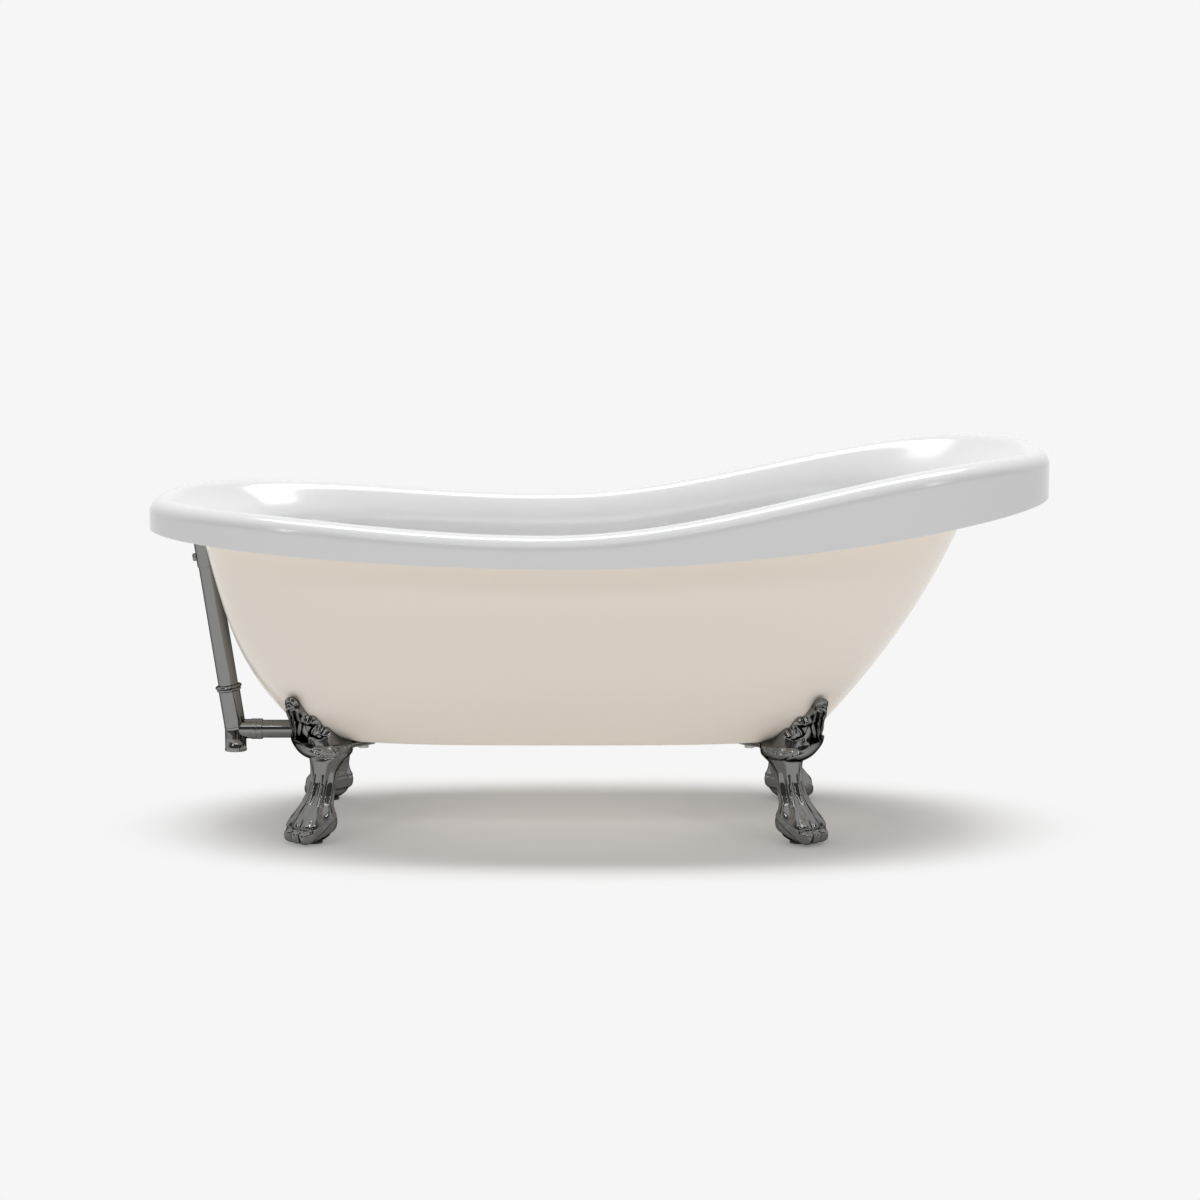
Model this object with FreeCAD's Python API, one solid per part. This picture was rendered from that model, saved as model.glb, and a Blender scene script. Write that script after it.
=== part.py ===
import FreeCAD, Part

# A slipper bathtub on four lion-paw feet, with its outside waste and overflow.
# Millimetres. X runs along the tub: the drain end is at -X and the high head end at +X.
# Y runs across it and Z is up. The origin is on the floor, below the middle of the rim.

import math
import os

from FreeCAD import Vector

os.makedirs("parts", exist_ok=True)

# ---------------------------------------------------------------- driving dimensions

# Rim, seen from above: a rounded oblong, its outer face upright all round.
tub_length = 1702.0
tub_width = 774.0
drain_end_power = 3.0           # 2 would be an ellipse, a higher power is boxier
head_end_power = 3.4

# Height of the rim's crest and of its lower edge. Places are shares of the half length.
crest_at_drain = 637.0
crest_lowest = 598.0
crest_at_head = 730.0
crest_lowest_place = -0.12
edge_at_drain = 582.0
edge_lowest = 540.0
edge_at_head = 645.0
edge_lowest_place = -0.06
edge_power = 1.8

# Section of the rim.
shoulder_radius = 26.0
crest_flat = 6.0
roll_radius = 26.0
roll_lead, roll_drop = 4.0, 2.0  # from the end of the roll in and down to the wall
basin_wall = 5.0

# The two bottoms, with a board between them.
shell_bottom = 182.0
shell_wall = 4.0
board_thickness = 24.0
floor_height = shell_bottom + shell_wall + board_thickness + basin_wall
board_drain_margin, board_side_margin, board_head_margin = 44.0, 26.0, 40.0

# Inside of the basin. Each end and side draws in from the roll to the floor.
ledge_reach = 0.04              # share of the depth over which the ledge under the roll fades
drain_ledge, drain_lean, drain_belly = 62.0, 95.0, 70.0
side_ledge, side_lean, side_belly = 8.0, 70.0, 50.0
head_ledge, head_lean = 40.0, 385.0
belly_power = 4
floor_blend_from = 0.80
floor_blend = 55.0

# Outer shell. Overhang is how far it stands in from the rim's outer face at its top.
shell_top_rise = 4.0
shell_head_drop = 44.0
drain_overhang, drain_shell_lean, drain_shell_belly = 94.0, 100.0, 100.0
side_overhang, side_shell_lean, side_shell_belly = 55.0, 70.0, 57.0
head_overhang, head_shell_lean, head_shell_belly = 159.0, 175.0, 107.0
head_belly_power = 2
corner_blend_from = 0.93
corner_blend = 16.0
flange_gap = 1.0                # between the shell's flange and the inside of the rim's face
flange_recess = 8.0

# Feet. The leg stands square to nothing: its toes point out along a corner's diagonal.
splay = 45.0
leg_from_drain_end, leg_from_head_end, leg_from_side = 342.0, 500.0, 205.0
leg_y = tub_width / 2 - leg_from_side
saddle_thickness = 9.0
saddle_inner_reach = 40.0       # of the saddle under the tub, from the leg's axis
seat_gap = 0.3                  # between a foot and the wall that it carries
paw_bottom = 4.0
tongue_length, tongue_width, tongue_thickness = 106.0, 44.0, 9.0
foot_bolt_reach = 90.0          # from the leg's axis in to the bolt, along the diagonal
foot_bolt_radius = 5.0
bolt_hole_gap = 0.5
washer_radius, washer_thickness = 11.0, 1.6
bolt_head_across, bolt_head_height = 17.0, 6.4
tee_nut_radius, tee_nut_flange, tee_nut_flange_thickness, tee_nut_length = 6.6, 11.0, 1.5, 15.0

# Levelling glides.
paw_centre = 36.0               # of the sole, out from the leg's axis
glide_radius, glide_pad = 17.0, 3.7
glide_stem_radius = 4.0
glide_travel = 12.0
glide_grip = 21.0               # thread that is still in the insert when a glide is right down
insert_radius, insert_length = 7.0, 30.0
insert_recess = 1.0
glide_headroom = 4.0            # of the hole above a glide's stem
thread_gap = 0.05
seal_gap = 0.1
past = 1.0                      # a cut runs this far past the face that it opens

# Overflow tube and waste tee. The tube slopes in the middle plane of the tub.
branch_z = shell_bottom - 2.5
tube_radius, tube_wall = 19.05, 1.2
tube_lean = 8.5                 # degrees from upright, top towards the drain end
socket_gap = 0.2
elbow_radius, elbow_roof = 20.8, 8.0
dome_radius, dome_depth, dome_flat = 27.0, 10.0, 0.4
elbow_top_z = edge_at_drain - 20.0
elbow_bottom_z = elbow_top_z - 65.0
overflow_z = elbow_top_z - 45.0
tube_top_z = elbow_bottom_z + 10.0
neck_radius, neck_wall, neck_recess = 15.0, 2.0, 1.0
wall_passage = 90.0             # from the tube's axis to beyond both walls
plug_radius, plug_proud = 7.5, 6.0
plug_shank_radius, plug_shank = 5.5, 2.0
gasket_width, gasket_slant = 10.0, 12.0
channel_gap, channel_wall, channel_clear = 1.5, 3.0, 8.6
channel_headroom, channel_reach = 6.0, 120.0  # above the elbow and below it
slip_nut_radius, slip_nut_height, slip_nut_round = 25.0, 12.0, 2.0
slip_nut_grip = 4.0
slip_washer_height = 3.0
tee_radius, limb_overlap = 20.6, 4.0
bead_rise, bead_height, bead_proud = 5.0, 1.6, 0.5
lip_height, lip_proud = 4.0, 0.6
tube_bottom_z = branch_z + 52.5
tee_socket_top_z = branch_z + 74.5
slip_nut_z = branch_z + 82.5
outlet_bottom_z = branch_z - 42.5
outlet_bore, outlet_socket = 19.25, 25.0
water_way, outlet_way = 17.4, 15.4

# Branch to the drain.
branch_radius, branch_wall = 17.45, 1.2
socket_step = 1.0               # ledge that a tube's end stops at, and its distance from it
branch_arm_radius, branch_arm_reach = 18.9, 26.0
branch_nut_radius, branch_nut_length = 19.9, 22.0
branch_nut_round, branch_nut_back = 0.5, 3.0
lug_place, lug_proud, lug_radius = 8.0, 1.0, 1.6
branch_washer_length = 3.0
branch_insert = 20.0            # how far the tube goes into each socket
drain_x = 421.0 - tub_length / 2
shoe_radius, shoe_wall, shoe_bottom_z = 26.0, 3.0, shell_bottom - 25.0
shoe_arm_radius, shoe_arm_reach = 19.9, 62.0
shoe_collar_length, shoe_collar_proud = 5.0, 1.2
shoe_gasket_thickness = 3.0
notch_gap = 6.0                 # round the shoe and branch where they pass the shell and board

# Strainer flange and press-to-open plug.
flange_radius, flange_thickness, flange_dish = 36.0, 2.5, 1.2
flange_bevel, flange_band, dish_width = 1.5, 5.0, 8.0
flange_seal_thickness, flange_seal_inset, flange_seal_clear = 0.8, 3.0, 1.0
flange_neck_radius, flange_neck_bore = 19.0, 16.6
flange_neck_bottom_z = floor_height - 27.0
floor_hole_gap = 0.6
spoke_count, spoke_width, spoke_height, spoke_z = 4, 3.0, 5.0, floor_height - 19.0
spoke_root, hub_wall = 0.5, 2.5
barrel_radius, barrel_bore = 6.5, 4.05
barrel_top_z, barrel_bottom_z = floor_height - 2.0, floor_height - 26.0
barrel_floor = 2.0
stem_radius = 4.0
spring_radius, spring_wall, spring_shut = 3.6, 0.7, 2.0
cap_radius, cap_height, cap_gap = 30.0, 6.0, 0.3
cap_form = ((0.967, 0.0), (1.0, 0.25), (0.9, 0.67), (0.6, 0.87), (0.0, 1.0))
cap_seal_thickness, cap_seal_width, cap_seal_overhang = 2.0, 3.0, 1.0
stopper_travel = 9.0

# Plate over the overflow, inside the basin.
cover_radius, cover_height, cover_wall, cover_bevel = 36.0, 9.0, 2.0, 4.0
cover_stand = 3.5               # of the plate's edge off the wall, at the neck
cover_screw_radius, cover_screw_length = 2.5, 34.0
cover_screw_head, cover_screw_crown = 5.5, 2.6
bar_width, bar_thickness = 6.0, 12.0

ring_points = 48
leg_points = 40
up = Vector(0, 0, 1)


# ---------------------------------------------------------------- small tools

def save(name, shape):
    shape.exportStep("parts/" + name + ".step")
    print(name, "solids", len(shape.Solids), "volume", round(shape.Volume / 1000.0, 1), "cm3",
          "valid", shape.isValid())


def rod(start, end, radius):
    """Cylinder from one point to another."""
    axis = end - start
    return Part.makeCylinder(radius, axis.Length, start, axis)


def sleeve(start, end, outer, inner):
    """Open tube from one point to another."""
    return rod(start, end, outer).cut(rod(start, end, inner))


def hexagon(centre, across, height):
    """Hexagonal prism that stands on its centre point, across flats."""
    corner = across / math.sqrt(3)
    corners = [centre + Vector(corner * math.cos(math.radians(60 * k)),
                               corner * math.sin(math.radians(60 * k)), 0) for k in range(7)]
    return Part.Face(Part.makePolygon(corners)).extrude(up * height)


def turned(profile, start, axis):
    """Solid turned from (radius, height) corners, stood on start along axis."""
    corners = [Vector(radius, 0, height) for radius, height in profile]
    solid = Part.Face(Part.makePolygon(corners + corners[:1])).revolve(Vector(), up, 360)
    solid.Placement = FreeCAD.Placement(start, FreeCAD.Rotation(up, axis))
    return solid


def mirrored(shape):
    """Copy on the other side of the tub's middle plane."""
    return shape.mirror(Vector(), Vector(0, 1, 0))


def smooth_ring(points):
    """Closed curve through points that are evenly spaced in their own parameter."""
    curve = Part.BSplineCurve()
    curve.interpolate(Points=points, Parameters=list(range(len(points) + 1)), PeriodicFlag=True)
    return Part.Wire([curve.toShape()])


def closed_solid(faces):
    """Solid from faces that share their edges."""
    shell = Part.Shell(faces)
    shell.sewShape()
    solid = Part.Solid(Part.Shell(shell.Faces))
    if solid.Volume < 0:
        solid.reverse()
    return solid


def skin_faces(wires):
    """A skin of ruled strips from each ring to the next."""
    return Part.makeLoft(wires, False, True).Faces


def skin_solid(rings):
    """Solid bounded by a skin through rings and a flat cap on the first and the last."""
    wires = [smooth_ring(ring) for ring in rings]
    return closed_solid(skin_faces(wires) + [Part.Face(wires[0]), Part.Face(wires[-1])])


def walled_solid(rings, wall):
    """Thin wall behind a skin: open at the first ring, closed by a flat floor at the last."""
    hidden = offset_rings(rings, -wall)
    for point, seen in zip(hidden[-1], rings[-1]):
        point.z = seen.z - wall * floor_side(rings)
    for point, seen in zip(hidden[0], rings[0]):
        point.z = seen.z
    seen_wires = [smooth_ring(ring) for ring in rings]
    hidden_wires = [smooth_ring(ring) for ring in hidden]
    faces = skin_faces(seen_wires) + skin_faces(hidden_wires)
    faces += skin_faces([seen_wires[0], hidden_wires[0]])
    return closed_solid(faces + [Part.Face(seen_wires[-1]), Part.Face(hidden_wires[-1])])


def floor_side(rings):
    """1 where the rings turn over a crest and end on a floor, -1 where they end on a bottom."""
    return 1 if rings[1][0].z > rings[0][0].z else -1


def offset_rings(rings, distance):
    """The same rings moved along the skin's outward normals."""
    moved = []
    last = len(rings) - 1
    for level, ring in enumerate(rings):
        before, after = rings[max(level - 1, 0)], rings[min(level + 1, last)]
        count = len(ring)
        moved.append([])
        for k, point in enumerate(ring):
            along = ring[(k + 1) % count] - ring[k - 1]
            down = after[k] - before[k]
            normal = along.cross(down)
            normal.normalize()
            moved[-1].append(point + normal * (distance * floor_side(rings)))
    return moved


# ---------------------------------------------------------------- the tub's form

def plan_direction(turn):
    """Point of the unit oblong, from turn 0 at the head end to half a turn at the drain end."""
    along, across = math.cos(turn), math.sin(turn)
    power = head_end_power if along > 0 else drain_end_power
    reach = (abs(along) ** power + abs(across) ** power) ** (-1 / power)
    return along * reach, across * reach


def share_from(place, along):
    """How far along is from a place towards the end on its side, 0 to 1."""
    return (along - place) / (1 - place) if along > place else (place - along) / (place + 1)


def crest_height(along):
    end = crest_at_head if along > crest_lowest_place else crest_at_drain
    share = share_from(crest_lowest_place, along)
    return crest_lowest + (end - crest_lowest) * (1 - math.cos(math.pi * share)) / 2


def edge_height(along):
    end = edge_at_head if along > edge_lowest_place else edge_at_drain
    return edge_lowest + (end - edge_lowest) * share_from(edge_lowest_place, along) ** edge_power


def shell_top(along):
    return edge_height(along) + shell_top_rise - shell_head_drop * max(along, 0) ** 3


def ring(insets, height):
    """Points round the tub: insets from the rim's face at drain end, side and head end."""
    drain_x_limit = insets[0] - tub_length / 2
    head_x_limit = tub_length / 2 - insets[2]
    middle, half = (head_x_limit + drain_x_limit) / 2, (head_x_limit - drain_x_limit) / 2
    points = []
    for k in range(ring_points):
        along, across = plan_direction(2 * math.pi * k / ring_points)
        points.append(Vector(middle + half * along, (tub_width / 2 - insets[1]) * across,
                             height(along)))
    return points


def even_insets(inset):
    return (inset, inset, inset)


def roll_foot(along):
    """Height where the roll ends and the basin's wall begins."""
    return crest_height(along) - roll_radius - roll_drop


def basin_insets(depth):
    """Insets of the basin's wall at a share of its depth below the roll."""
    start = shoulder_radius + crest_flat + roll_radius + roll_lead
    ledge = 1 - math.exp(-depth / ledge_reach)
    belly = depth ** belly_power
    return (start + drain_ledge * ledge + drain_lean * depth + drain_belly * belly,
            start + side_ledge * ledge + side_lean * depth + side_belly * belly,
            start + head_ledge * ledge + head_lean * depth)


def shell_insets(depth):
    """Insets of the outer shell at a share of its height below its top."""
    belly = depth ** belly_power
    return (drain_overhang + drain_shell_lean * depth + drain_shell_belly * belly,
            side_overhang + side_shell_lean * depth + side_shell_belly * belly,
            head_overhang + head_shell_lean * depth + head_shell_belly * depth ** head_belly_power)


def blended(insets_at, top, bottom, blend_from, blend, steps):
    """Rings that bend from a wall into a flat bottom along one smooth curve."""
    step = 0.01
    start, before = insets_at(blend_from), insets_at(blend_from - step)
    corner = [a + (a - b) / step * (1 - blend_from) for a, b in zip(start, before)]
    rings = []
    for k in range(1, steps + 1):
        t = k / steps
        insets = [(1 - t) ** 2 * a + 2 * t * (1 - t) * c + t * t * (c + blend)
                  for a, c in zip(start, corner)]
        drop = (1 - blend_from) * (1 - t) ** 2
        rings.append(ring(insets, lambda along: bottom + (top(along) - bottom) * drop))
    return rings


def wall_rings(insets_at, top, bottom, depths):
    return [ring(insets_at(depth), lambda along: top(along) - (top(along) - bottom) * depth)
            for depth in depths]


def basin_rings():
    """The whole seen skin of the basin: rim face, shoulder, crest, roll, wall and floor bend."""
    face_top = lambda along: crest_height(along) - shoulder_radius
    rings = [ring(even_insets(0), edge_height), ring(even_insets(0), face_top)]
    for angle in (22, 45, 67, 90):
        rise = shoulder_radius * math.sin(math.radians(angle))
        inset = shoulder_radius * (1 - math.cos(math.radians(angle)))
        rings.append(ring(even_insets(inset), lambda along: face_top(along) + rise))
    for angle in (0, 22, 45, 67, 85):
        drop = roll_radius * (1 - math.cos(math.radians(angle)))
        inset = shoulder_radius + crest_flat + roll_radius * math.sin(math.radians(angle))
        rings.append(ring(even_insets(inset), lambda along: crest_height(along) - drop))
    rings += wall_rings(basin_insets, roll_foot, floor_height,
                        (0.02, 0.05, 0.09, 0.15, 0.24, 0.36, 0.5, 0.65, floor_blend_from))
    return rings + blended(basin_insets, roll_foot, floor_height, floor_blend_from, floor_blend, 4)


def shell_wall_rings():
    """The shell's skin from just under its flange to its flat bottom."""
    depths = (0.04, 0.12, 0.24, 0.38, 0.52, 0.66, 0.8, corner_blend_from)
    return (wall_rings(shell_insets, shell_top, shell_bottom, depths)
            + blended(shell_insets, shell_top, shell_bottom, corner_blend_from, corner_blend, 4))


def shell_rings():
    """Flange, its bend and the wall of the shell."""
    outer = basin_wall + flange_gap
    top = shell_insets(0)
    flange_height = lambda along: edge_height(along) + flange_recess
    rings = []
    for share in (0, 1):
        insets = [outer + (a - outer) * share for a in top]
        rings.append(ring(insets, lambda along: flange_height(along) + share
                          * (shell_top(along) - flange_height(along))))
    return rings + shell_wall_rings()


def envelope(proud):
    """Solid as large as the shell, and proud of it, closed above by a level lid."""
    rings = shell_wall_rings()
    lid_height = edge_at_head + shoulder_radius
    rings = [ring(shell_insets(0), lambda along: lid_height)] + rings
    rings = offset_rings(rings, proud)
    for point in rings[-1]:
        point.z = shell_bottom - proud
    for point in rings[0]:
        point.z = lid_height
    return skin_solid(rings)


def shell_side(x, z):
    """Distance of the shell's face from the middle plane at a place along the tub."""
    depth = 0.5
    for _ in range(12):
        insets = shell_insets(depth)
        drain_limit, head_limit = insets[0] - tub_length / 2, tub_length / 2 - insets[2]
        along = (x - (head_limit + drain_limit) / 2) / ((head_limit - drain_limit) / 2)
        along = max(-0.999, min(0.999, along))
        depth = (shell_top(along) - z) / (shell_top(along) - shell_bottom)
    power = head_end_power if along > 0 else drain_end_power
    return (tub_width / 2 - insets[1]) * (1 - abs(along) ** power) ** (1 / power)


def basin_end(z):
    """Place of the basin's wall at the drain end at a height."""
    depth = (roll_foot(-1) - z) / (roll_foot(-1) - floor_height)
    return basin_insets(depth)[0] - tub_length / 2


channel_bore = elbow_radius + channel_gap
tube_top_x = basin_end(elbow_top_z) - basin_wall - channel_clear - channel_wall - channel_bore


def tube_point(z):
    """Point of the overflow tube's axis at a height."""
    return Vector(tube_top_x + (elbow_top_z - z) * math.tan(math.radians(tube_lean)), 0, z)


# ---------------------------------------------------------------- basin, shell and board

tube_up = tube_point(elbow_top_z) - tube_point(branch_z)
tube_up.normalize()
inward = Vector(tube_up.z, 0, -tube_up.x)
overflow_point = tube_point(overflow_z)
drain_hole_radius = flange_neck_radius + floor_hole_gap
neck_hole_radius = neck_radius + floor_hole_gap


def make_basin():
    basin = walled_solid(basin_rings(), basin_wall)
    drain_hole = rod(Vector(drain_x, 0, shell_bottom), Vector(drain_x, 0, floor_height + past),
                     drain_hole_radius)
    return basin.cut(drain_hole).cut(neck_hole())


def neck_hole():
    """Hole for the overflow's neck, through both walls."""
    return rod(overflow_point, overflow_point + inward * wall_passage, neck_hole_radius)


def channel():
    """Upright room for the overflow in the shell's drain end, and its lining, closed above."""
    low = tube_point(elbow_bottom_z - channel_reach)
    high = tube_point(elbow_top_z + channel_headroom)
    room = rod(low, high, channel_bore)
    return room, rod(low, high + tube_up * channel_wall, channel_bore + channel_wall).cut(room)


def branch_notch():
    """Room for the shoe and the branch where they pass through the bottoms."""
    top = floor_height - basin_wall
    round_shoe = rod(Vector(drain_x, 0, 0), Vector(drain_x, 0, top), shoe_radius + notch_gap)
    half = shoe_arm_radius + notch_gap
    roof = branch_z + shoe_arm_radius + notch_gap
    run = Part.makeBox(drain_x + tub_length / 2, 2 * half, roof, Vector(-tub_length / 2, -half, 0))
    return round_shoe, run


def make_shell():
    shell = walled_solid(shell_rings(), shell_wall)
    overflow_room, lining = channel()
    shell = shell.cut(overflow_room).fuse(lining.common(envelope(0)))
    shell = shell.cut(neck_hole())
    for room in branch_notch():
        shell = shell.cut(room)
    for x, y in bolt_places():
        shell = shell.cut(Part.makeCylinder(foot_bolt_radius + bolt_hole_gap, floor_height,
                                            Vector(x, y, 0)))
    return max(shell.Solids, key=lambda solid: solid.Volume)


def make_board():
    """Board between the bottoms, cut round the waste and drilled for the feet."""
    bottom = shell_bottom + shell_wall
    edges = shell_insets(1)
    insets = (edges[0] + board_drain_margin, edges[1] + board_side_margin,
              edges[2] + board_head_margin)
    outline = smooth_ring(ring(insets, lambda along: bottom))
    board = Part.Face(outline).extrude(up * board_thickness)
    for room in branch_notch():
        board = board.cut(room)
    for x, y in bolt_places():
        top = bottom + board_thickness
        board = board.cut(Part.makeCylinder(tee_nut_radius, board_thickness, Vector(x, y, bottom)))
        board = board.cut(Part.makeCylinder(tee_nut_flange + bolt_hole_gap,
                                            tee_nut_flange_thickness + seat_gap,
                                            Vector(x, y, top - tee_nut_flange_thickness - seat_gap)))
    return board


# ---------------------------------------------------------------- feet

feet = {"drain": (leg_from_drain_end - tub_length / 2, -1),
        "head": (tub_length / 2 - leg_from_head_end, 1)}
sides = {"left": -1, "right": 1}

# Heights of the leg's sections, each with its centre out from the leg's axis, its reach
# to the front, back and side, and how deep the toes or tendons are cut.
leg_sections = (
    (paw_bottom, 36, 45, 38, 37, 2.0),
    (9, 36, 51, 42, 41, 3.2),
    (20, 36, 54, 44, 43, 3.6),
    (31, 35, 51, 44, 43, 3.2),
    (39, 33, 46, 43, 42, 2.0),
    (50, 30, 46, 40, 41, 3.4),
    (60, 26, 38, 35, 37, 2.6),
    (74, 18, 29, 28, 29, 1.6),
    (92, 10, 24, 25, 25, 1.2),
    (112, 3, 23, 24, 23, 1.2),
    (132, 0, 24, 24, 24, 0.8),
    (148, -2, 28, 28, 28, 0.3),
    (164, -6, 35, 34, 37, 0),
    (182, -12, 42, 40, 44, 0),
    (200, -18, 44, 42, 46, 0),
    (218, -24, 38, 38, 42, 0),
    (236, -30, 26, 28, 30, 0),
)
toe_pitch = 36.0                # degrees between toes
toe_spread = 72.0
paw_power = 2.6

# Outline of the saddle against the wall, as seen from the side: distance out from the
# leg towards the end of the tub, and height.
saddle_outline = (
    (-44, 172), (-46, 183), (-26, 190), (-10, 203), (6, 212), (14, 224), (30, 234),
    (38, 240), (50, 256), (62, 270), (74, 268), (77, 256), (68, 234), (64, 204),
    (57, 181), (33, 158), (0, 148), (-30, 158),
)
curl_from, curl_to = 52.0, 76.0  # rolled tip of the tall leaf, out along the wall
curl_height, curl_radius, curl_softness = 262.0, 9.0, 0.7


def leg_ring(section):
    """One section of the leg: a rounded oblong with toes or tendons on its front."""
    height, centre, front, back, side, cut = section
    points = []
    for k in range(leg_points):
        turn = 2 * math.pi * k / leg_points
        along, across = math.cos(turn), math.sin(turn)
        reach = (abs(along) ** paw_power + abs(across) ** paw_power) ** (-1 / paw_power)
        x, y = (front if along > 0 else back) * along * reach, side * across * reach
        degrees = math.degrees(turn) if k <= leg_points / 2 else math.degrees(turn) - 360
        if abs(degrees) < toe_spread:
            fade = math.cos(math.radians(90 * degrees / toe_spread)) ** 0.5
            swell = 1 - cut * fade * math.cos(math.radians(360 * degrees / toe_pitch)) / front
            x, y = x * swell, y * swell
        points.append(Vector(centre + x, y, height))
    return points


def foot_placement(end):
    x, direction = feet[end]
    turn = 180 + splay if direction < 0 else -splay
    return FreeCAD.Placement(Vector(x, -leg_y, 0), FreeCAD.Rotation(up, turn))


def foot_point(end, reach, z):
    """Point of the left foot at the end, out along its diagonal from the leg's axis."""
    return foot_placement(end).multVec(Vector(reach, 0, z))


def bolt_places():
    """Centres of the four foot bolts."""
    places = []
    for end in feet:
        point = foot_point(end, -foot_bolt_reach, 0)
        places += [(point.x, side * abs(point.y)) for side in sides.values()]
    return places


def saddle(end, near, far):
    """Leaf-edged plate that follows the wall, between two envelopes."""
    x, direction = feet[end]
    outline = [Vector(x + direction * out, -tub_width / 2, z) for out, z in saddle_outline]
    curve = Part.BSplineCurve()
    curve.interpolate(Points=outline, PeriodicFlag=True)
    depth = tub_width / 2 - leg_y + saddle_inner_reach
    prism = Part.Face(Part.Wire([curve.toShape()])).extrude(Vector(0, depth, 0))
    return far.common(prism).cut(near)


def leaf_curl(end):
    """Rolled tip of the tall leaf: a short scroll with soft ends that lies along the wall."""
    x, direction = feet[end]
    ends = []
    for out in (curl_from, curl_to):
        place = x + direction * out
        ends.append(Vector(place, -shell_side(place, curl_height) - saddle_thickness,
                           curl_height))
    scroll = rod(ends[0], ends[1], curl_radius)
    ends_round = [edge for edge in scroll.Edges if edge.Closed]
    return scroll.makeFillet(curl_radius * curl_softness, ends_round)


def make_foot(end, near, far):
    placement = foot_placement(end)
    leg = skin_solid([leg_ring(section) for section in leg_sections])
    tongue_top = shell_bottom - seat_gap
    tongue = Part.makeBox(tongue_length, tongue_width, tongue_thickness,
                          Vector(-tongue_length, -tongue_width / 2, tongue_top - tongue_thickness))
    foot = leg.fuse(tongue)
    foot.Placement = placement
    plate = saddle(end, near, far).fuse(leaf_curl(end).cut(near))
    foot = foot.cut(near).fuse(plate)
    bolt = foot_point(end, -foot_bolt_reach, 0)
    foot = foot.cut(Part.makeCylinder(foot_bolt_radius + bolt_hole_gap, shell_bottom, bolt))
    sole = foot_point(end, paw_centre, 0)
    foot = foot.cut(Part.makeCylinder(insert_radius, glide_stem_top + glide_headroom, sole))
    return max(foot.Solids, key=lambda solid: solid.Volume)


def make_feet():
    near, far = envelope(seat_gap), envelope(seat_gap + saddle_thickness)
    for end in feet:
        foot = make_foot(end, near, far)
        save("claw_foot_" + end + "_left", foot)
        save("claw_foot_" + end + "_right", mirrored(foot))


def make_foot_bolts():
    """Bolts from below, through tongue, shell and board, into tee nuts."""
    tongue_bottom = shell_bottom - seat_gap - tongue_thickness
    board_top = floor_height - basin_wall
    bolts, washers, nuts = [], [], []
    for x, y in bolt_places():
        seat = Vector(x, y, tongue_bottom - washer_thickness)
        head = hexagon(seat - up * bolt_head_height, bolt_head_across, bolt_head_height)
        shank_top = Vector(x, y, board_top - tee_nut_flange_thickness)
        bolts.append(head.fuse(rod(seat, shank_top, foot_bolt_radius)))
        washers.append(sleeve(seat, seat + up * washer_thickness, washer_radius,
                              foot_bolt_radius + bolt_hole_gap))
        flange = Vector(x, y, board_top - seat_gap)
        nut = rod(flange - up * tee_nut_length, flange, tee_nut_radius)
        nut = nut.fuse(rod(flange - up * tee_nut_flange_thickness, flange, tee_nut_flange))
        nuts.append(nut.cut(rod(seat, flange, foot_bolt_radius + thread_gap)))
    save("foot_bolts", Part.makeCompound(bolts))
    save("foot_washers", Part.makeCompound(washers))
    save("foot_tee_nuts", Part.makeCompound(nuts))


glide_stem_top = paw_bottom + insert_recess + glide_grip + glide_travel


def make_glides():
    """A pad on a screw under each paw, in a threaded insert."""
    inserts = []
    for end in feet:
        for side, sign in sides.items():
            sole = foot_point(end, paw_centre, 0)
            sole.y = sign * abs(sole.y)
            pad = rod(sole, sole + up * glide_pad, glide_radius)
            stem = rod(sole + up * glide_pad, sole + up * glide_stem_top, glide_stem_radius)
            save("glide_" + end + "_" + side, pad.fuse(stem))
            low = sole + up * (paw_bottom + insert_recess)
            inserts.append(sleeve(low, low + up * insert_length, insert_radius,
                                  glide_stem_radius + thread_gap))
    save("glide_inserts", Part.makeCompound(inserts))


# ---------------------------------------------------------------- overflow and waste

def wall_hit(solid):
    """Distances along the neck at which a line beside its hole enters and leaves a wall."""
    start = overflow_point + Vector(0, neck_hole_radius + past, 0)
    probe = Part.makeLine(start, start + inward * wall_passage).common(solid)
    ends = [(vertex.Point - start).Length for vertex in probe.Vertexes]
    return min(ends), max(ends)


def make_elbow(neck_end):
    """Upright body with a domed top, a neck through both walls and a threaded bar across it."""
    foot, top = tube_point(elbow_bottom_z), tube_point(elbow_top_z)
    dome = Part.makeSphere(dome_radius, top - tube_up * (dome_radius - dome_flat))
    plain = rod(foot, top - tube_up * dome_depth, elbow_radius)
    elbow = rod(foot, top, elbow_radius).common(dome.fuse(plain))
    elbow = elbow.fuse(rod(overflow_point, neck_end, neck_radius))
    socket_end = tube_point(tube_top_z) + tube_up * seat_gap
    elbow = elbow.cut(rod(foot - tube_up * past, socket_end, tube_radius + socket_gap))
    elbow = elbow.cut(rod(socket_end, top - tube_up * elbow_roof, water_way))
    elbow = elbow.cut(rod(overflow_point, neck_end + inward * past, neck_radius - neck_wall))
    bar = Part.makeBox(bar_width, 2 * neck_radius - neck_wall, bar_thickness,
                       Vector(-bar_width / 2, -neck_radius + neck_wall / 2, -bar_thickness))
    bar.Placement = FreeCAD.Placement(neck_end, FreeCAD.Rotation(up, inward))
    elbow = elbow.fuse(bar)
    elbow = elbow.cut(rod(neck_end - inward * (bar_thickness + past), neck_end + inward * past,
                          cover_screw_radius + thread_gap))
    outside = overflow_point - inward * (elbow_radius + past)
    save("overflow_elbow", elbow.cut(rod(overflow_point, outside, plug_shank_radius)))


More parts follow.
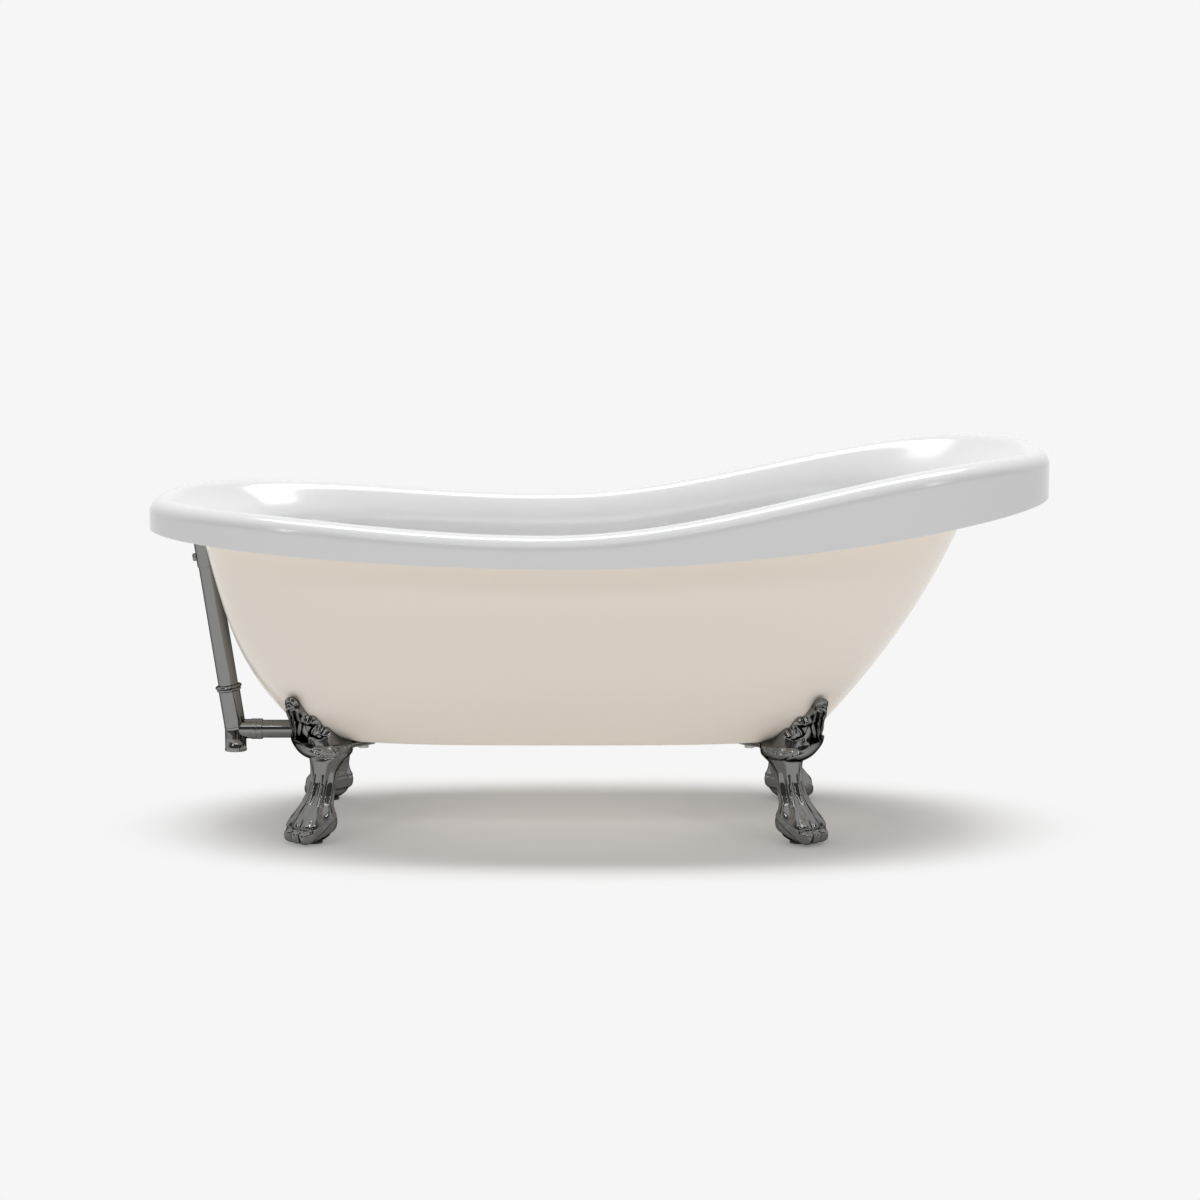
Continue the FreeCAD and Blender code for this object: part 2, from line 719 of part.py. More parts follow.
def make_overflow_plug():
    """Blanking plug that faces the drain end: a head outside and a shank in the elbow's wall."""
    seat = overflow_point - inward * elbow_radius
    head = rod(seat - inward * seat_gap, seat - inward * plug_proud, plug_radius)
    shank = rod(seat + inward * plug_shank, seat - inward * past, plug_shank_radius - thread_gap)
    save("overflow_plug", head.fuse(shank))


def make_overflow_gasket(basin, shell, basin_enters):
    """Soft ring round the neck that fills the room from the channel's lining to the basin."""
    gasket = sleeve(overflow_point, overflow_point + inward * (basin_enters + gasket_slant),
                    neck_radius + gasket_width, neck_hole_radius + seat_gap)
    for taken in (*channel(), shell, basin):
        gasket = gasket.cut(taken)
    save("overflow_gasket", max(gasket.Solids, key=lambda solid: solid.Volume))


def make_overflow_cover(basin, face):
    """Round plate inside the basin, fitted to its wall, and the screw that draws it up."""
    radius, height, wall, bevel = cover_radius, cover_height, cover_wall, cover_bevel
    cover = turned(((0, height), (radius - bevel, height), (radius, height - bevel), (radius, 0),
                    (radius - wall, 0), (radius - wall, height - bevel - wall / 2),
                    (radius - bevel - wall / 2, height - wall), (0, height - wall)), face, inward)
    cover = cover.cut(rod(face, face + inward * (height + past), cover_screw_radius + seat_gap))
    cover = cover.cut(basin)
    save("overflow_cover", max(cover.Solids, key=lambda solid: solid.Volume))

    head_seat = face + inward * (height + thread_gap)
    head, crown = cover_screw_head, cover_screw_crown
    screw = turned(((0, 0), (head, 0), (0.8 * head, 0.6 * crown), (0.45 * head, 0.9 * crown),
                    (0, crown)), head_seat, inward)
    shank = rod(head_seat, head_seat - inward * cover_screw_length, cover_screw_radius)
    save("overflow_screw", screw.fuse(shank))


def make_overflow(basin, shell):
    """Elbow in the shell's channel, plate and screw inside the basin, seal between the walls."""
    basin_enters, basin_leaves = wall_hit(basin)
    make_elbow(overflow_point + inward * (basin_leaves - neck_recess))
    make_overflow_plug()
    make_overflow_gasket(basin, shell, basin_enters)
    make_overflow_cover(basin, overflow_point + inward * (basin_leaves + cover_stand))


slip_nut_foot = tube_point(slip_nut_z) - tube_up * (slip_nut_height - slip_nut_grip)
socket_top = slip_nut_foot + tube_up * (tee_socket_top_z - slip_nut_foot.z)


def make_overflow_tube():
    """Tube from the elbow down into the tee, with its slip nut and ring seal."""
    save("overflow_tube", sleeve(tube_point(tube_bottom_z), tube_point(tube_top_z),
                                 tube_radius, tube_radius - tube_wall))
    height, outer, curve = slip_nut_height, slip_nut_radius, slip_nut_round
    inner, clear = tube_radius + socket_gap, tee_radius + socket_gap
    ledge = (socket_top - slip_nut_foot).Length + slip_washer_height
    nut = turned(((clear, 0), (outer - curve, 0), (outer, curve), (outer, 2 * curve),
                  (outer - curve, 3 * curve), (outer - curve, height - 2 * curve),
                  (outer - curve / 4, height - curve), (outer - curve, height),
                  (inner, height), (inner, ledge), (clear, ledge)), slip_nut_foot, tube_up)
    save("tube_slip_nut", nut)
    save("tube_slip_washer", sleeve(socket_top, socket_top + tube_up * slip_washer_height,
                                    clear - seal_gap, inner))


def make_tee():
    """Tee with a sloping socket for the overflow, a level arm and an open upright socket."""
    joint = tube_point(branch_z)
    outlet_top = joint + up * limb_overlap
    outlet_end = Vector(joint.x, 0, outlet_bottom_z)
    body = rod(joint - tube_up * limb_overlap, socket_top, tee_radius)
    body = body.fuse(rod(outlet_end, outlet_top, tee_radius))
    body = body.fuse(Part.makeSphere(tee_radius, joint))
    body = body.fuse(rod(joint, arm_end, branch_arm_radius))
    bead = tube_point(branch_z + bead_rise)
    body = body.fuse(rod(bead, bead + tube_up * bead_height, tee_radius + bead_proud))
    body = body.fuse(rod(outlet_end, outlet_end + up * lip_height, tee_radius + lip_proud))
    body = body.cut(rod(tube_point(tube_bottom_z) - tube_up * socket_step,
                        socket_top + tube_up * past, tube_radius + socket_gap))
    body = body.cut(rod(joint, socket_top, water_way))
    body = body.cut(rod(outlet_end - up * past, outlet_top, outlet_way))
    body = body.cut(rod(outlet_end - up * past, outlet_end + up * outlet_socket, outlet_bore))
    body = body.cut(rod(joint, arm_end + level * past, branch_way))
    body = body.cut(rod(arm_end - level * (branch_insert + socket_step), arm_end + level * past,
                        branch_radius + socket_gap))
    save("waste_tee", body)


level = Vector(1, 0, 0)
branch_way = branch_radius - branch_wall - socket_step
arm_end = tube_point(branch_z) + level * (tee_radius + branch_arm_reach)
shoe_mouth = Vector(drain_x - shoe_arm_reach, 0, branch_z)


def make_branch():
    """Level tube from the tee's arm to the shoe, with its nut and ring seal."""
    save("branch_tube", sleeve(arm_end - level * branch_insert, shoe_mouth + level * branch_insert,
                               branch_radius, branch_radius - branch_wall))
    nut_start = arm_end + level * (branch_washer_length + branch_nut_back - branch_nut_length)
    outer, bore, curve = branch_nut_radius, branch_radius + socket_gap, branch_nut_round
    clear, length = branch_arm_radius + socket_gap, branch_nut_length
    ledge = length - branch_nut_back
    nut = turned(((clear, 0), (outer - curve, 0), (outer, curve), (outer, length - curve),
                  (outer - curve, length), (bore, length), (bore, ledge), (clear, ledge)),
                 nut_start, level)
    lug = nut_start + level * lug_place
    nut = nut.fuse(rod(lug - Vector(0, outer - curve, 0), lug - Vector(0, outer + lug_proud, 0),
                       lug_radius))
    save("branch_nut", nut)
    save("branch_washer", sleeve(arm_end, arm_end + level * branch_washer_length,
                                 clear - seal_gap, bore))


def make_shoe():
    """Pot under the drain that takes the strainer's neck from above and the branch at its side."""
    top = floor_height - basin_wall - shoe_gasket_thickness
    centre = Vector(drain_x, 0, branch_z)
    foot, rim = Vector(drain_x, 0, shoe_bottom_z), Vector(drain_x, 0, top)
    collar_end = shoe_mouth + level * shoe_collar_length
    shoe = rod(foot, rim, shoe_radius).fuse(rod(shoe_mouth, centre, shoe_arm_radius))
    shoe = shoe.fuse(rod(shoe_mouth, collar_end, shoe_arm_radius + shoe_collar_proud))
    shoe = shoe.cut(rod(foot + up * shoe_wall, rim + up * past, flange_neck_radius + thread_gap))
    shoe = shoe.cut(rod(shoe_mouth, centre, branch_way))
    shoe = shoe.cut(rod(shoe_mouth - level * past,
                        shoe_mouth + level * (branch_insert + socket_step),
                        branch_radius + socket_gap))
    save("drain_shoe", shoe)
    save("shoe_gasket", sleeve(rim, rim + up * shoe_gasket_thickness, shoe_radius,
                               drain_hole_radius))


def make_drain():
    """Strainer flange and its seal, the barrel in its hub, and the press-to-open plug."""
    foot = Vector(drain_x, 0, 0)
    rim_bottom = floor_height + flange_seal_thickness
    rim_top = rim_bottom + flange_thickness
    dish_floor, dish = rim_top - flange_dish, flange_neck_bore + dish_width
    neck_bottom = flange_neck_bottom_z
    flange = turned(((flange_neck_bore, neck_bottom), (flange_neck_radius, neck_bottom),
                     (flange_neck_radius, rim_bottom), (flange_radius, rim_bottom),
                     (flange_radius - flange_bevel, rim_top), (flange_radius - flange_band, rim_top),
                     (dish, dish_floor), (flange_neck_bore, dish_floor)), foot, up)
    hub = rod(foot + up * spoke_z, foot + up * (spoke_z + spoke_height), barrel_radius + hub_wall)
    spoke_reach = flange_neck_bore + spoke_root
    for k in range(spoke_count // 2):
        spoke = Part.makeBox(2 * spoke_reach, spoke_width, spoke_height,
                             Vector(-spoke_reach, -spoke_width / 2, spoke_z))
        spoke.rotate(Vector(), up, 360.0 * k / spoke_count)
        spoke.translate(foot)
        hub = hub.fuse(spoke)
    flange = flange.fuse(hub).cut(rod(foot, foot + up * rim_top, barrel_radius + thread_gap))
    save("drain_flange", flange)
    save("flange_seal", sleeve(foot + up * floor_height, foot + up * rim_bottom,
                               flange_radius - flange_seal_inset,
                               drain_hole_radius + flange_seal_clear))

    spring_foot = barrel_bottom_z + barrel_floor
    barrel = rod(foot + up * barrel_bottom_z, foot + up * barrel_top_z, barrel_radius)
    barrel = barrel.cut(rod(foot + up * spring_foot, foot + up * (barrel_top_z + past), barrel_bore))
    save("stopper_barrel", barrel)

    seal_bottom = dish_floor + cap_gap
    cap_bottom = seal_bottom + cap_seal_thickness
    cap = turned([(0, cap_bottom)] + [(cap_radius * out, cap_bottom + cap_height * rise)
                                      for out, rise in cap_form], foot, up)
    save("stopper_cap", cap)
    seal_radius = dish + cap_seal_overhang
    save("stopper_seal", sleeve(foot + up * seal_bottom, foot + up * cap_bottom,
                                seal_radius, seal_radius - cap_seal_width))
    stem_bottom = spring_foot + stopper_travel + spring_shut
    save("stopper_stem", rod(foot + up * stem_bottom, foot + up * cap_bottom, stem_radius))
    save("stopper_spring", sleeve(foot + up * (spring_foot + seal_gap),
                                  foot + up * (stem_bottom - seal_gap), spring_radius,
                                  spring_radius - spring_wall))


# ---------------------------------------------------------------- the whole tub

basin = make_basin()
shell = make_shell()
save("inner_basin", basin)
save("outer_shell", shell)
save("base_board", make_board())
make_feet()
make_foot_bolts()
make_glides()
make_overflow(basin, shell)
make_overflow_tube()
make_tee()
make_branch()
make_shoe()
make_drain()
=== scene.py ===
import math

import bmesh
import bpy
import numpy as np
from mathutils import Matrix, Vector


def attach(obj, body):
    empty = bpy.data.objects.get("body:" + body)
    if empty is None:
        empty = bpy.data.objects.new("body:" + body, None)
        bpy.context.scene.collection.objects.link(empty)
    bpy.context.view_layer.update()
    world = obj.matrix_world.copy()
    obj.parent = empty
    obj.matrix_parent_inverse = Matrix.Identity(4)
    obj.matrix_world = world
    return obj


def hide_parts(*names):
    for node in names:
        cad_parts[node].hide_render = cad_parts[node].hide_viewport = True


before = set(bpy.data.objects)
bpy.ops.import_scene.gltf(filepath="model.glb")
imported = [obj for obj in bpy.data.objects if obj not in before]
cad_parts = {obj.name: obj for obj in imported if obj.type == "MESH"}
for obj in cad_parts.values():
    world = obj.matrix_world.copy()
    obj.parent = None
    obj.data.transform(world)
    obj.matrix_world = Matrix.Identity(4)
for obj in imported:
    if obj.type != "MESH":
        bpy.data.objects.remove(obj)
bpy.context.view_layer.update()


# ---------------------------------------------------------------- basin
# The white inner tub: one skin of acrylic, 5 mm thick, drawn down from a single sheet. It turns
# over at the top into a rolled slipper rim, lowest a little towards the drain and high at the head.

TUB_LENGTH, TUB_WIDTH = 1.702, 0.774
CREST_DRAIN, CREST_LOW, CREST_HEAD, CREST_LOW_PLACE = 0.637, 0.598, 0.730, -0.12
EDGE_DRAIN, EDGE_LOW, EDGE_HEAD, EDGE_LOW_PLACE = 0.582, 0.540, 0.645, -0.06
SHOULDER, CREST_FLAT, ROLL, ROLL_DROP = 0.026, 0.006, 0.026, 0.002
BASIN_WALL, FLOOR_HEIGHT, FLOOR_BLEND_FROM, FLOOR_BLEND = 0.005, 0.215, 0.80, 0.055
SLOPE_STEP = 0.01
TUBE_FOOT_X, TUBE_FOOT_Z, TUBE_LEAN = -0.713, 0.263, math.radians(8.5)
OVERFLOW_HEIGHT, NECK_HOLE, DRAIN_X, DRAIN_HOLE = 0.517, 0.0156, -0.430, 0.0196
WHITE = (0.80, 0.80, 0.805, 1)


def oblong(turn):
    """Unit plan of the tub: |x|^p + |y|^p = 1, with p 3.4 on the head half and 3 on the drain half."""
    along, across = np.cos(turn), np.sin(turn)
    power = np.where(along > 0, 3.4, 3.0)
    reach = (np.abs(along) ** power + np.abs(across) ** power) ** (-1 / power)
    return along * reach, across * reach


def share_from(place, along):
    """0 at a place along the tub, rising to 1 at the end on its own side."""
    return np.where(along > place, (along - place) / (1 - place), (place - along) / (1 + place))


def crest_height(along):
    """Half a cosine wave from the low part of the rim up to either end."""
    end = np.where(along > CREST_LOW_PLACE, CREST_HEAD, CREST_DRAIN)
    wave = (1 - np.cos(np.pi * share_from(CREST_LOW_PLACE, along))) / 2
    return CREST_LOW + (end - CREST_LOW) * wave


def edge_height(along):
    """The rim's lower edge: from its lowest place it rises as a power of the share of the way."""
    end = np.where(along > EDGE_LOW_PLACE, EDGE_HEAD, EDGE_DRAIN)
    return EDGE_LOW + (end - EDGE_LOW) * share_from(EDGE_LOW_PLACE, along) ** 1.8


def round_tub(turn, drain_inset, side_inset, head_inset, height):
    """Grid of points round the tub. The oblong is stretched between the insets from the rim's
    face at the two ends and at the side; rows follow the turn and columns follow the insets."""
    along, across = oblong(turn)
    low, high = drain_inset - TUB_LENGTH / 2, TUB_LENGTH / 2 - head_inset
    x = (low + high) / 2 + (high - low) / 2 * along
    y = (TUB_WIDTH / 2 - side_inset) * across
    return np.stack(np.broadcast_arrays(x, y, height(along)), axis=-1)


def bent_insets(insets, share, bend, blend):
    """Insets of a parabola from the wall, at a share of its depth, into the floor. Its middle point
    is where the wall's slope there, carried straight on, meets the floor."""
    start, before = insets(share), insets(share - SLOPE_STEP)
    corner = [a + (a - b) / SLOPE_STEP * (1 - share) for a, b in zip(start, before)]
    return [(1 - bend) ** 2 * a + 2 * bend * (1 - bend) * c + bend ** 2 * (c + blend)
            for a, c in zip(start, corner)]


def towards_middle(edge, shares):
    """Flat floor inside a closed edge: each point runs straight to the edge's middle."""
    middle = edge.mean(axis=0)
    return middle + (edge[:, None, :] - middle) * (1 - shares)[None, :, None]


def eased(points, weights, passes):
    """Softens a grid along its columns: each pass moves a point by its column's weight towards
    the average of its two neighbours."""
    for _ in range(passes):
        average = (points[:, :-2] + points[:, 2:]) / 2
        points[:, 1:-1] += weights[None, 1:-1, None] * (average - points[:, 1:-1]) * 0.5
    return points


def grid_mesh(name, grids, closed=True):
    """Mesh from grids of points. A closed grid's last row joins its first. Doubles are merged,
    which closes the poles, and faces are turned to point outwards from the grid's own order."""
    corners, faces = [], []
    for points in grids:
        rows, columns = points.shape[:2]
        number = np.arange(rows * columns).reshape(rows, columns) + sum(len(c) for c in corners)
        below = np.roll(number, -1, axis=0) if closed else number[1:]
        above = number if closed else number[:-1]
        quads = np.stack([above[:, :-1], below[:, :-1], below[:, 1:], above[:, 1:]], axis=-1)
        corners.append(points.reshape(-1, 3))
        faces.append(quads.reshape(-1, 4))
    mesh = bpy.data.meshes.new(name)
    mesh.from_pydata(np.concatenate(corners).tolist(), [], np.concatenate(faces).tolist())
    tidy = bmesh.new()
    tidy.from_mesh(mesh)
    bmesh.ops.remove_doubles(tidy, verts=tidy.verts, dist=1e-6)
    bmesh.ops.delete(tidy, geom=[edge for edge in tidy.edges if edge.is_wire], context="EDGES")
    tidy.to_mesh(mesh)
    tidy.free()
    return mesh


def placed(name, mesh, material, body, nodes):
    """Puts a finished mesh in the scene as the piece that stands for the named nodes."""
    mesh.materials.clear()
    mesh.materials.append(material)
    piece = bpy.data.objects.new(name, mesh)
    bpy.context.scene.collection.objects.link(piece)
    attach(piece, body)
    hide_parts(*nodes)
    return piece


def smooth_below(mesh, degrees):
    """Smooth shading, with edges sharper than an angle kept crisp."""
    mesh.polygons.foreach_set("use_smooth", np.ones(len(mesh.polygons), bool))
    mesh.set_sharp_from_angle(angle=math.radians(degrees))


def finish_of(name, colour, roughness, metallic=0.0):
    """A material with its Principled shader, named and ready for a pattern."""
    material = bpy.data.materials.new(name)
    material.use_nodes = True
    shader = material.node_tree.nodes["Principled BSDF"]
    shader.inputs["Base Color"].default_value = colour
    # Metals get a dark edge tint: painted shade that darkens their reflections towards grazing edges.
    if metallic:
        shader.inputs["Specular Tint"].default_value = (0.1, 0.1, 0.1, 1)
    shader.inputs["Roughness"].default_value = roughness
    shader.inputs["Metallic"].default_value = metallic
    return material


def basin_insets(depth):
    """Insets of the wall at a share of its depth: a ledge that fades, a lean and a belly."""
    start = SHOULDER + CREST_FLAT + ROLL + 0.004
    ledge, belly = 1 - np.exp(-depth / 0.04), depth ** 4
    return (start + 0.062 * ledge + 0.095 * depth + 0.070 * belly,
            start + 0.008 * ledge + 0.070 * depth + 0.050 * belly,
            start + 0.040 * ledge + 0.385 * depth)


def basin_grid(turn):
    """The seen skin from the rim's edge to the middle of the floor. Columns: the upright face,
    a quarter round, the flat of the crest, the roll, the wall, a parabola into the floor."""
    face = np.linspace(0, 1, 8)
    bow = np.radians(np.linspace(6, 90, 13))
    flat = np.linspace(0.25, 0.75, 2)
    curl = np.radians(np.linspace(0, 80, 13))
    depth = FLOOR_BLEND_FROM * np.linspace(0.002, 1, 56) ** 1.25
    bend = np.linspace(0, 1, 15)[1:]

    def even(inset):
        return inset, inset, inset

    def wall_height(shares):
        def height(along):
            foot = crest_height(along) - ROLL - ROLL_DROP
            return foot - (foot - FLOOR_HEIGHT) * shares
        return height

    bent = bent_insets(basin_insets, FLOOR_BLEND_FROM, bend, FLOOR_BLEND)
    grid = np.concatenate([
        round_tub(turn, *even(0 * face), lambda along: edge_height(along) + face
                  * (crest_height(along) - SHOULDER - edge_height(along))),
        round_tub(turn, *even(SHOULDER * (1 - np.cos(bow))),
                  lambda along: crest_height(along) - SHOULDER * (1 - np.sin(bow))),
        round_tub(turn, *even(SHOULDER + CREST_FLAT * flat), lambda along: crest_height(along)),
        round_tub(turn, *even(SHOULDER + CREST_FLAT + ROLL * np.sin(curl)),
                  lambda along: crest_height(along) - ROLL * (1 - np.cos(curl))),
        round_tub(turn, *basin_insets(depth), wall_height(depth)),
        round_tub(turn, *bent, wall_height(1 - (1 - FLOOR_BLEND_FROM) * (1 - bend) ** 2)),
    ], axis=1)
    column = np.arange(grid.shape[1])
    roll_foot = len(face) + len(bow) + len(flat) + len(curl)
    soft = np.exp(-((column - roll_foot) / 9.0) ** 4)
    grid = eased(grid, soft, 40)
    floor = towards_middle(grid[:, -1], np.linspace(0, 1, 16)[1:])
    return np.concatenate([grid, floor], axis=1)


def hidden_side(seen, wall):
    """The grid moved in by the wall's thickness along its normals, which are the cross product of
    the differences along its rows and its columns. Both rims of the wall keep their height."""
    round_way = np.roll(seen, -1, axis=0) - np.roll(seen, 1, axis=0)
    normal = np.cross(round_way, np.gradient(seen, axis=1))
    normal /= np.maximum(np.linalg.norm(normal, axis=-1, keepdims=True), 1e-12)
    normal[:, -1] = (0, 0, 1)
    hidden = seen - wall * normal
    hidden[:, 0, 2] = seen[:, 0, 2]
    return hidden


def walled(seen, hidden):
    """One closed grid: out along the seen side, back along the hidden side to where it began."""
    return np.concatenate([seen, hidden[:, ::-1], seen[:, :1]], axis=1)


def facing_out(mesh):
    """Turns the faces of closed shapes outwards."""
    tidy = bmesh.new()
    tidy.from_mesh(mesh)
    bmesh.ops.dissolve_degenerate(tidy, edges=tidy.edges, dist=1e-7)
    bmesh.ops.recalc_face_normals(tidy, faces=tidy.faces)
    tidy.to_mesh(mesh)
    tidy.free()
    return mesh


def settle(piece):
    """Replaces the mesh by what its modifiers make of it."""
    seen = piece.evaluated_get(bpy.context.evaluated_depsgraph_get())
    made = bpy.data.meshes.new_from_object(seen)
    piece.modifiers.clear()
    piece.data = made


def cut_away(piece, name, grids):
    """Applies the piece's modifiers and a Boolean that takes closed grids' solids off it."""
    cutter = bpy.data.objects.new(name, facing_out(grid_mesh(name, grids)))
    bpy.context.scene.collection.objects.link(cutter)
    cut = piece.modifiers.new("cut", "BOOLEAN")
    cut.operation, cut.solver, cut.object = "DIFFERENCE", "EXACT", cutter
    settle(piece)
    bpy.data.objects.remove(cutter)


def turned(profile, start, axis, steps=96):
    """A closed profile of (radius, height) carried round an axis: start + axis * height + radius
    * (one side * cos + other side * sin). The profile's last point joins its first."""
    axis = np.asarray(axis, float) / np.linalg.norm(axis)
    one = np.cross(axis, [0.0, 1.0, 0.0] if abs(axis[1]) < 0.9 else [1.0, 0.0, 0.0])
    one /= np.linalg.norm(one)
    other = np.cross(axis, one)
    radius, height = np.array(list(profile) + [profile[0]], float).T
    turn = np.linspace(0, 2 * np.pi, steps, endpoint=False)[:, None, None]
    return (np.asarray(start) + axis * height[:, None]
            + radius[:, None] * (one * np.cos(turn) + other * np.sin(turn)))


def bore(radius, length):
    """Profile of a plain round hole's cutter."""
    return [(0, 0), (radius, 0), (radius, length), (0, length)]


def tube_point(z):
    """Point of the leaning tube's axis at a height."""
    return np.array([TUBE_FOOT_X - (z - TUBE_FOOT_Z) * math.tan(TUBE_LEAN), 0, z])


acrylic = finish_of("white_acrylic", WHITE, 0.16)
round_turn = np.linspace(0, 2 * np.pi, 300, endpoint=False)[:, None]
tub_skin = basin_grid(round_turn)
basin = placed("basin", grid_mesh("basin", [walled(tub_skin, hidden_side(tub_skin, BASIN_WALL))]),
               acrylic, "tub", ["inner_basin"])
tube_up = np.array([-math.sin(TUBE_LEAN), 0, math.cos(TUBE_LEAN)])
inward = np.array([tube_up[2], 0, -tube_up[0]])
upright = np.array([0, 0, 1])
overflow = tube_point(OVERFLOW_HEIGHT)
neck_hole = turned(bore(NECK_HOLE, 0.09), overflow, inward, 48)
drain_hole = turned(bore(DRAIN_HOLE, 0.06), (DRAIN_X, 0, 0.18), upright, 48)
cut_away(basin, "basin_holes", [neck_hole, drain_hole])
smooth_below(basin.data, 60)
lip = basin.modifiers.new("lip", "BEVEL")
lip.width, lip.segments, lip.limit_method, lip.angle_limit = 0.0012, 2, "ANGLE", math.radians(60)


# ---------------------------------------------------------------- outer shell
# The cream outer skin, laid up in glass fibre and enamelled. Its flange is tucked up under the rim.
# The drain end has an upright channel for the overflow, and its bottom is notched for the branch.

SHELL_BOTTOM, SHELL_WALL, BOTTOM_BLEND_FROM, BOTTOM_BLEND = 0.182, 0.004, 0.93, 0.016
FLANGE_INSET, FLANGE_LIFT = 0.006, 0.008
CHANNEL_BORE, CHANNEL_TOP = 0.0223, 0.571
BRANCH_Z, NOTCH_HALF, NOTCH_ROUND, NOTCH_TOP = 0.1795, 0.0259, 0.032, 0.2054
CREAM = (0.89, 0.81, 0.716, 1)


def shell_insets(depth):
    """Insets of the shell at a share of its height below its top: a lean and a belly."""
    belly = depth ** 4
    return (0.094 + 0.100 * depth + 0.100 * belly,
            0.055 + 0.070 * depth + 0.057 * belly,
            0.159 + 0.175 * depth + 0.107 * depth ** 2)


def shell_top(along):
    """A little above the rim's edge, and lower towards the head as the cube of the way there."""
    return edge_height(along) + 0.004 - 0.044 * np.maximum(along, 0) ** 3


def shell_grid(turn, wall):
    """Flange, wall, a parabola into the bottom, and the flat bottom, all moved in by a thickness.
    Where the wall comes nearer to the overflow's axis than the channel's bore, it is pushed back
    to a cylinder of that bore."""
    reach = np.linspace(0, 1, 9)[:-1]
    depth = np.linspace(0, BOTTOM_BLEND_FROM, 66)
    bend = np.linspace(0, 1, 11)[1:]
    flange = [FLANGE_INSET + (a + wall - FLANGE_INSET) * reach for a in shell_insets(0 * reach)]
    bent = bent_insets(shell_insets, BOTTOM_BLEND_FROM, bend, BOTTOM_BLEND)

    def top(along):
        return shell_top(along) + wall

    def height(shares):
        return lambda along: top(along) - (top(along) - SHELL_BOTTOM - wall) * shares

    wall_part = np.concatenate([
        round_tub(turn, *[wall + inset for inset in shell_insets(depth)], height(depth)),
        round_tub(turn, *[wall + inset for inset in bent],
                  height(1 - (1 - BOTTOM_BLEND_FROM) * (1 - bend) ** 2)),
    ], axis=1)
    x, y, z = wall_part[..., 0], wall_part[..., 1], wall_part[..., 2]
    axis = TUBE_FOOT_X - (z - TUBE_FOOT_Z) * math.tan(TUBE_LEAN)
    radius = CHANNEL_BORE + wall
    channel = axis + np.sqrt(np.maximum(radius ** 2 - y ** 2, 0)) / math.cos(TUBE_LEAN)
    beside = (np.abs(y) < radius) & (x < 0) & (z < CHANNEL_TOP + wall)
    wall_part[..., 0] = np.where(beside, np.maximum(x, channel), x)
    lift = edge_height(oblong(turn)[0]) + FLANGE_LIFT + wall
    rim_part = round_tub(turn, *flange, lambda along: lift + reach * (top(along) - lift))
    floor = towards_middle(wall_part[:, -1], np.linspace(0, 1, 12)[1:])
    return np.concatenate([rim_part, wall_part, floor], axis=1)[::-1]


def shell_notch():
    """Prism through the bottom: two straight sides from beyond the drain end to an arc round the
    shoe. Its two caps are fans from a point near the drain."""
    beyond, below = -0.9, 0.1
    meet = math.asin(NOTCH_HALF / NOTCH_ROUND)
    arc = np.linspace(-math.pi + meet, math.pi - meet, 49)
    outline = np.stack([DRAIN_X + NOTCH_ROUND * np.cos(arc), NOTCH_ROUND * np.sin(arc)], axis=-1)
    outline = np.concatenate([[[beyond, -NOTCH_HALF]], outline, [[beyond, NOTCH_HALF]]])
    middle = np.tile([[DRAIN_X - 0.015, 0.0]], (len(outline), 1))
    levels = [(middle, below), (outline, below), (outline, NOTCH_TOP), (middle, NOTCH_TOP)]
    return np.stack([np.column_stack([plan, np.full(len(plan), z)]) for plan, z in levels], axis=1)


near_channel = np.pi + np.linspace(-0.1, 0.1, 81)
elsewhere = np.linspace(-np.pi + 0.105, np.pi - 0.105, 260)
enamel = finish_of("cream_enamel", CREAM, 0.22)
shell_turn = np.concatenate([elsewhere, near_channel])[:, None]
shell_sides = walled(shell_grid(shell_turn, 0), shell_grid(shell_turn, SHELL_WALL))
shell = placed("shell", grid_mesh("shell", [shell_sides]), enamel,
               "tub", ["outer_shell"])
cut_away(shell, "shell_notch", [shell_notch()])
smooth_below(shell.data, 35)


# ---------------------------------------------------------------- base board
# A plain sheet of board glued between the two bottoms, which the foot bolts are drawn up against.

board_wood = finish_of("board_wood", (0.42, 0.30, 0.19, 1), 0.7)
grain = board_wood.node_tree.nodes.new("ShaderNodeTexNoise")
grain.inputs["Scale"].default_value = 60
stretch = board_wood.node_tree.nodes.new("ShaderNodeMapping")
stretch.inputs["Scale"].default_value = (0.06, 1, 1)
place = board_wood.node_tree.nodes.new("ShaderNodeTexCoord")
shades = board_wood.node_tree.nodes.new("ShaderNodeValToRGB")
shades.color_ramp.elements[0].color = (0.34, 0.23, 0.14, 1)
shades.color_ramp.elements[1].color = (0.52, 0.39, 0.26, 1)
link = board_wood.node_tree.links.new
link(place.outputs["Object"], stretch.inputs["Vector"])
link(stretch.outputs["Vector"], grain.inputs["Vector"])
link(grain.outputs["Fac"], shades.inputs["Fac"])
link(shades.outputs["Color"], board_wood.node_tree.nodes["Principled BSDF"].inputs["Base Color"])


def dressed(node, material):
    """Shows a node of the frame as it is, in a finish."""
    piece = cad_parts[node]
    piece.data.materials.clear()
    piece.data.materials.append(material)


dressed("base_board", board_wood)


# ---------------------------------------------------------------- feet
# Four lion-paw feet, each one casting, polished and chromed: a paw with toes in two tiers, a
# fluted leg, and an acanthus leaf that lies against the shell, curls at its tip and ends in a head.

SPLAY = math.radians(45)
LEG_Y = 0.182
FEET = {"drain": (-0.509, -1), "head": (0.351, 1)}
CASTING_GRAIN = 0.0013

